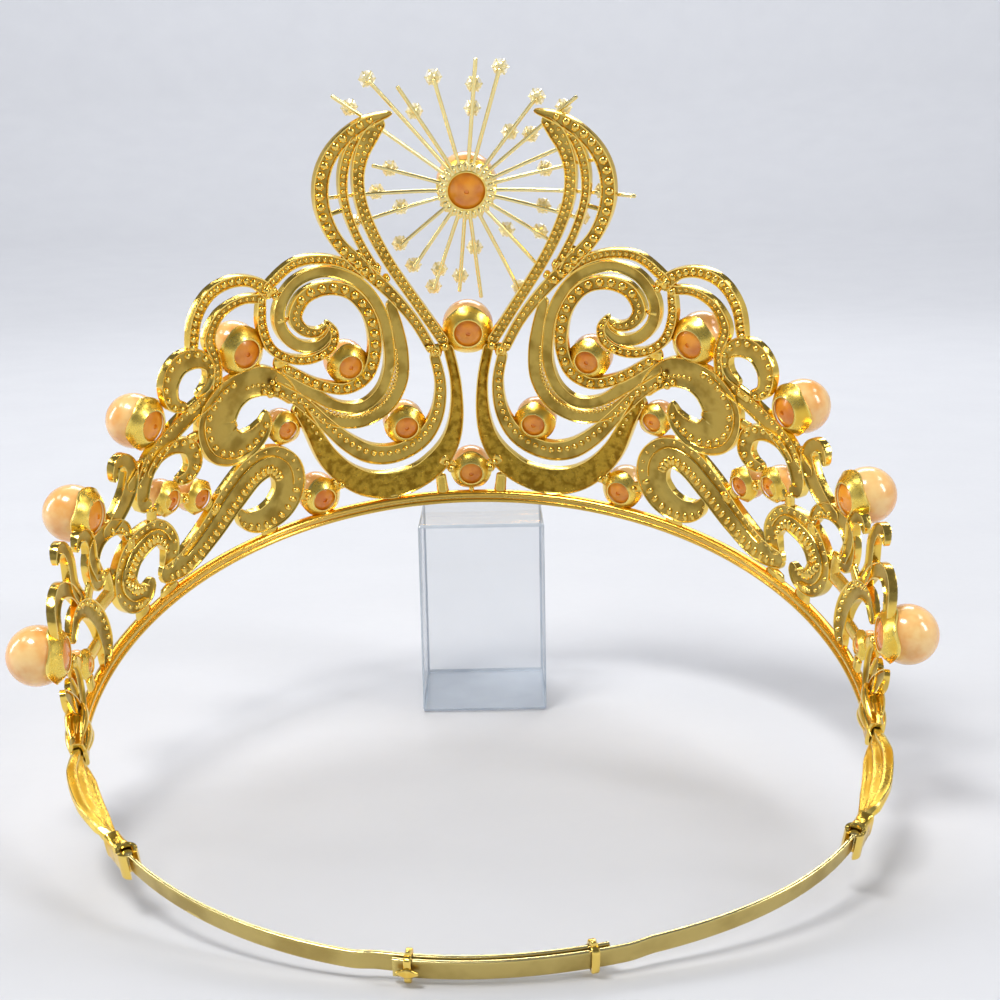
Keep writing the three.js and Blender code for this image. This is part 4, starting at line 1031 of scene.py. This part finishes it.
# %% A fluted leaf, in rows of: share of its length, height, thickness and lean
tall, thin = TONGUE_HEIGHT / LINK_HEIGHT, TONGUE_THICKNESS / LINK_THICKNESS
leaf_rows = np.array([
    [0, tall, thin, 0], [0.1, tall, thin, 0], [0.17, 0.7, 0.8, 0.5], [0.3, 0.94, 1, 1], [0.45, 1, 1, 1],
    [0.62, 1, 1, 1], [0.83, 0.76, 0.9, 0.6], [0.9, tall, thin, 0], [1, tall, thin, 0]])


def fluted_leaf(skin, side):
    share = np.linspace(0, 1, 90)
    rows = [np.interp(share, leaf_rows[:, 0], leaf_rows[:, k]) for k in (1, 2, 3)]
    height, thick, lean_share = [np.convolve(np.pad(v, 3, "edge"), np.ones(7) / 7, "valid") for v in rows]
    up = np.sin(np.linspace(-math.pi / 2, math.pi / 2, 31))
    flute = (0.62 + 0.38 * np.cos(3 * math.pi * up)) * np.sqrt(np.clip(1 - np.abs(up) ** 8, 0.03, 1))
    fluted = np.clip((thick - thick[0]) / (1 - thick[0]), 0, 1)[:, None]
    flute = flute * fluted + (1 - fluted) * np.clip(flute, 0.2, 1) ** 0.1
    outs = np.concatenate([flute, -flute[:, ::-1][:, 1:-1]], 1) * thick[:, None] * LINK_THICKNESS / 2
    ups = np.concatenate([up, up[::-1][1:-1]])[None] * height[:, None] * LINK_HEIGHT / 2
    turn = (lean_share * LINK_LEAN)[:, None]
    leaned = [ups * np.cos(turn) - outs * np.sin(turn), ups * np.sin(turn) + outs * np.cos(turn)]
    sweep(skin, side * (link_start + share * LINK_LENGTH), np.stack(leaned, -1))


print("links:", LINK_LENGTH, "mm long and", LINK_HEIGHT, "mm high")

# %% Drops over a clip, each: from, to, height at both ends, half width and how far out
CLIP_DROPS = [(-4.5, 5.5, 4.4, 1.9, 1.1, 1.5), (-3, 8, 1.4, 0.6, 1.2, 1.8), (-4, 6, -1, -1.2, 0.9, 1.5),
              (-3.5, 6, 2.8, 1.4, 1.2, 0.4)]
DROP_HALF_OUT, DROP_DIP = 0.8, 0.9


def drop(skin, side, face, start, stop, rise, settle, width, out):
    """A pointed leaf that swells in its middle, on the clip's outer (1) or inner (-1) face."""
    share = np.linspace(0, 1, 24)
    swell = (np.sin(math.pi * share ** 0.7) ** 0.8)[:, None, None]
    outlines = oval(width, DROP_HALF_OUT, 14) * np.clip(swell, 0.06, 1)
    lift = (rise + (settle - rise) * share)[:, None]
    outward = face * (out - DROP_DIP * (1 - swell[:, 0, 0]))
    sweep(skin, side * (clip_start + start + (stop - start) * share),
          np.dstack([outlines[:, :, 0] + lift, outlines[:, :, 1]]), outward=outward)


for word, side in (("right", 1), ("left", -1)):
    clip, leaf = Skin(), Skin()
    sleeve(clip, clip_start, clip_start + clip_depth, side)
    for shape in CLIP_DROPS:
        for face in (1, -1):
            drop(clip, side, face, *shape)
    clip.piece(f"folded_clip_{word}", [polished_gold], f"front_clip_{word}")
    fluted_leaf(leaf, side)
    leaf.piece(f"fluted_leaf_{word}", [stamped_gold], f"leaf_link_{word}")

# %% [markdown]
# The tray and its hinge: a strip of sheet bent up at its edges, with the far end rolled into an
# open curl. The strap ends in a pin that turns inside the curl. Outlines that stand
# upright, such as the curl seen from above, are skinned from bottom to top.

# %% Trays and curls
CURL_OPENING = math.radians(34)
SOFT_EDGE = 0.12


def upright(skin, outline, half_height):
    """An outline in along and outward, drawn from bottom to top with softened edges."""
    middle, soft = outline.mean(0), SOFT_EDGE / half_height
    rows = []
    for level, share in ((-1, 0.97), (-1 + soft, 1), (1 - soft, 1), (1, 0.97)):
        flat = middle + (outline - middle) * share
        height = np.full(len(flat), ring_middle + level * half_height)
        rows.append(np.stack([flat[:, 0], height, flat[:, 1]], 1))
    skin.wrap(rows)


def curl(skin, side, half_height):
    turn = np.linspace(CURL_OPENING, 2 * math.pi - CURL_OPENING, 29)
    walls = []
    for radius, level in ((curl_outside, -1), (curl_outside, 1), (curl_inside, 1), (curl_inside, -1)):
        walls.append(np.stack([side * (eye_place + radius * np.cos(turn)),
                               np.full(len(turn), ring_middle + level * half_height),
                               radius * np.sin(turn)], 1))
    skin.wrap(np.stack(walls, 1))


for word, side in (("right", 1), ("left", -1)):
    tray = Skin()
    sleeve(tray, rear_clip_start - GAP, rear_clip_start + clip_depth / 2 + GAP, side)
    curl(tray, side, clip_height / 2 + CLIP_WALL)
    joint_start = rear_clip_start + clip_depth / 2
    sweep(tray, side * np.linspace(joint_start - 0.2, joint_start + CLIP_WALL + 0.3, 3),
          oval(clip_height / 2 + CLIP_WALL, clip_thickness / 2 + CLIP_WALL, 24, 0.45))
    tray.piece(f"curled_tray_{word}", [polished_gold], f"rear_clip_{word}")

# %% [markdown]
# The strap is two flat strips that slide past each other, so the crown fits any head. Two crimped
# collars hold them together where they lap. The strips are plain bars with rubbed
# edges, so their whole charm is in the finish and the clean line.

# %% A strip
STRIP_OVERLAP = 34
LAP_SHIFT = 2.6
COLLAR_LENGTH = 1.2
STRIP_POINTS = 20
FLAT_SHARE = 0.86
lap_outward = (STRIP_THICKNESS + GAP) / 2
strip_turn = (np.arange(STRIP_POINTS) + 0.5) / STRIP_POINTS * 2 * math.pi
strip_tones = [int(abs(math.cos(angle + math.pi / STRIP_POINTS)) < FLAT_SHARE) for angle in strip_turn]


def strap_strip(word, side):
    strip = Skin()
    lengths = np.linspace(eye_place, half_ring + STRIP_OVERLAP / 2 - side * LAP_SHIFT, 140)
    lap = half_ring - STRIP_OVERLAP / 2 - side * LAP_SHIFT - 2 * COLLAR_LENGTH
    share = np.clip((lengths - lap + 4 * COLLAR_LENGTH) / (4 * COLLAR_LENGTH), 0, 1)
    step_out = side * lap_outward * share * share * (3 - 2 * share)
    outline = oval(STRIP_HEIGHT / 2, STRIP_THICKNESS / 2, STRIP_POINTS, 0.3)
    sweep(strip, side * lengths, outline, strip_tones, outward=step_out)
    turn, pin = around(20), EYE_DIAMETER / 2
    pin_outline = np.stack([side * (eye_place + pin * np.cos(turn)), pin * np.sin(turn)], 1)
    upright(strip, pin_outline, STRIP_HEIGHT / 2)
    strip.piece(f"strap_strip_{word}", [pale_gold, brushed_gold], f"strap_{word}")


print("the strips lap over", STRIP_OVERLAP, "mm")

# %% A crimped collar
COLLAR_SPACING = 29
COLLAR_WALL = 0.5
COLLAR_PEAK = 0.9
COLLAR_ROLL = [(-0.5, 0.7), (-0.35, 1), (0.35, 1), (0.5, 0.7), (0.5, 0), (-0.5, 0)]
PEAK_ROWS = [(0, 0.55), (0.45, 0.5), (0.85, 0.3), (1, 0.12)]


def crimped_collar(word, side):
    """A sleeve round both strips, with a wing at its back and a small peak on top."""
    collar = Skin()
    middle = side * (half_ring - COLLAR_SPACING / 2) - LAP_SHIFT
    half_up, half_out = STRIP_HEIGHT / 2 + GAP, lap_outward + STRIP_THICKNESS / 2 + GAP
    rolls = [oval(half_up + out * COLLAR_WALL, half_out + out * COLLAR_WALL, 24, 0.35)
             for _, out in COLLAR_ROLL]
    sweep(collar, [middle + at * COLLAR_LENGTH for at, _ in COLLAR_ROLL], rolls, round_trip=True)
    wing = np.linspace(-1.5, 1.5, 13)
    outlines = [oval(half_up / 2 * (1.05 - 0.55 * abs(at)), COLLAR_WALL * (1 - 0.3 * abs(at)), 12, 0.7)
                for at in wing]
    sweep(collar, middle + wing * COLLAR_LENGTH, outlines, outward=-side * (half_out + COLLAR_WALL))
    foot = ring_middle + half_up + COLLAR_WALL / 2
    corners = ((-1, -1), (1, -1), (1, 1), (-1, 1))
    collar.wrap([[[middle + a * share, foot + climb * COLLAR_PEAK, b * share] for a, b in corners]
                 for climb, share in PEAK_ROWS])
    collar.piece(f"crimped_collar_{word}", [polished_gold], f"collar_{word}")


print("collars:", COLLAR_LENGTH, "mm long,", COLLAR_SPACING, "mm apart")

# %% Both sides of the strap
for word, side in (("right", 1), ("left", -1)):
    strap_strip(word, side)
    crimped_collar(word, side)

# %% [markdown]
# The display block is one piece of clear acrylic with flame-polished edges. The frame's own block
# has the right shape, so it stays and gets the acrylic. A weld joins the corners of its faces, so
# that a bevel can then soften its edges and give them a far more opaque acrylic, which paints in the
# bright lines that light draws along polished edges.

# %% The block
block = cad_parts["display_block"]
block.data.materials.clear()
block.data.materials.append(clear_acrylic)
block.data.materials.append(polished_edge)
block.modifiers.new("joined_corners", "WELD").merge_threshold = 0.00001
edge = block.modifiers.new("polished_edges", "BEVEL")
edge.width, edge.segments, edge.limit_method, edge.material = 0.0006, 3, "ANGLE", 1

# %% [markdown]
# Stage, light and camera. Polished gold only shows what is round it, so the stage is a pale floor
# that curls up far away on every side, with soft boxes above and washes of light on its walls.
# The standard view transform keeps the yellow of the gold, which the usual one greys. The camera
# looks from the photograph's place: inside the ring, a little above the strap.

# %% The stage
STAGE_SIDES = 96
stage_profile = [(0.001, -0.0002), (0.5, -0.0002), (1.2, 0), (1.7, 0.05), (2.1, 0.25), (2.4, 0.7),
                 (2.5, 1.3), (2.5, 1.8)]
corners = [(r * math.cos(a), r * math.sin(a), z) for r, z in stage_profile for a in around(STAGE_SIDES)]
walls = [(start + k, start + (k + 1) % STAGE_SIDES, start + STAGE_SIDES + (k + 1) % STAGE_SIDES,
          start + STAGE_SIDES + k)
         for start in range(0, len(corners) - STAGE_SIDES, STAGE_SIDES) for k in range(STAGE_SIDES)]
floor_mesh = bpy.data.meshes.new("floor")
floor_mesh.from_pydata(corners, [], walls + [tuple(range(STAGE_SIDES - 1, -1, -1))])
floor_mesh.shade_smooth()
floor = in_scene("floor", floor_mesh)
paper = Finish("pale_paper")
floor_mesh.materials.append(paper.done(
    Base_Color=paper.blend(paper.noise(40, 3), colour(208, 210, 215), colour(201, 203, 209)),
    Roughness=paper.noise(3, 2) * 0.2 + 0.5))
print("stage:", round(2 * stage_profile[-1][0]), "m across,", len(floor_mesh.polygons), "faces")


# %% Lights
def soft_box(name, place, size, power, warm=(1, 1, 1), aim=(0, 0, 0.05)):
    lamp = bpy.data.lights.new(name, "AREA")
    lamp.shape, lamp.size, lamp.size_y, lamp.energy, lamp.color = "RECTANGLE", size[0], size[1], power, warm
    box = in_scene(name, lamp)
    box.location = place
    box.rotation_euler = (Vector(aim) - Vector(place)).to_track_quat("-Z", "Y").to_euler()


soft_box("key_above", (-0.3, -0.3, 0.95), (0.35, 0.2), 6.5, (1, 0.98, 0.94))
soft_box("fill_right", (0.85, -0.45, 0.6), (0.2, 0.5), 3.5)
soft_box("rim_behind", (0.1, 0.8, 0.8), (0.8, 0.2), 4)
soft_box("low_left", (-0.8, 0.1, 0.35), (0.12, 0.5), 1.8)
soft_box("backdrop_wash", (0, 1.1, 1.5), (1.6, 0.4), 22, aim=(0, 2.3, 0.3))
for word, side in (("right", 1), ("left", -1)):
    soft_box(f"side_wash_{word}", (1.2 * side, 0, 1.5), (0.4, 1.6), 12, aim=(2.3 * side, 0, 0.3))
world = bpy.data.worlds.new("studio")
bpy.context.scene.world = world
world.use_nodes = True
sky = world.node_tree.nodes["Background"].inputs
sky["Color"].default_value, sky["Strength"].default_value = (0.84, 0.86, 0.92, 1), 0.16
bpy.context.scene.view_settings.view_transform = "Standard"
print("lights:", len(bpy.data.lights))

# %% The camera
CAMERA_PLACE = Vector((0, -0.29702, 0.12738))
CAMERA_PITCH, CAMERA_YAW, CAMERA_ROLL = [math.radians(angle) for angle in (12.24, 1.10, -1.08)]
ahead = Vector((math.sin(CAMERA_YAW) * math.cos(CAMERA_PITCH), math.cos(CAMERA_YAW) * math.cos(CAMERA_PITCH),
                -math.sin(CAMERA_PITCH)))
level = Vector((math.cos(CAMERA_YAW), -math.sin(CAMERA_YAW), 0))
upward = level.cross(ahead)
tip, stay = math.sin(CAMERA_ROLL), math.cos(CAMERA_ROLL)
axes = Matrix((stay * level + tip * upward, stay * upward - tip * level, -ahead)).transposed()
lens = bpy.data.cameras.new("camera")
lens.lens, lens.sensor_width, lens.clip_start = 54, 36, 0.005
camera = in_scene("camera", lens)
camera.matrix_world = Matrix.Translation(CAMERA_PLACE) @ axes.to_4x4()
bpy.context.scene.camera = camera
print("camera:", [round(1000 * v) for v in CAMERA_PLACE], "mm from the middle of the floor")

# %% [markdown]
# Last, the view layer is brought up to date.

# %% The end
bpy.context.view_layer.update()
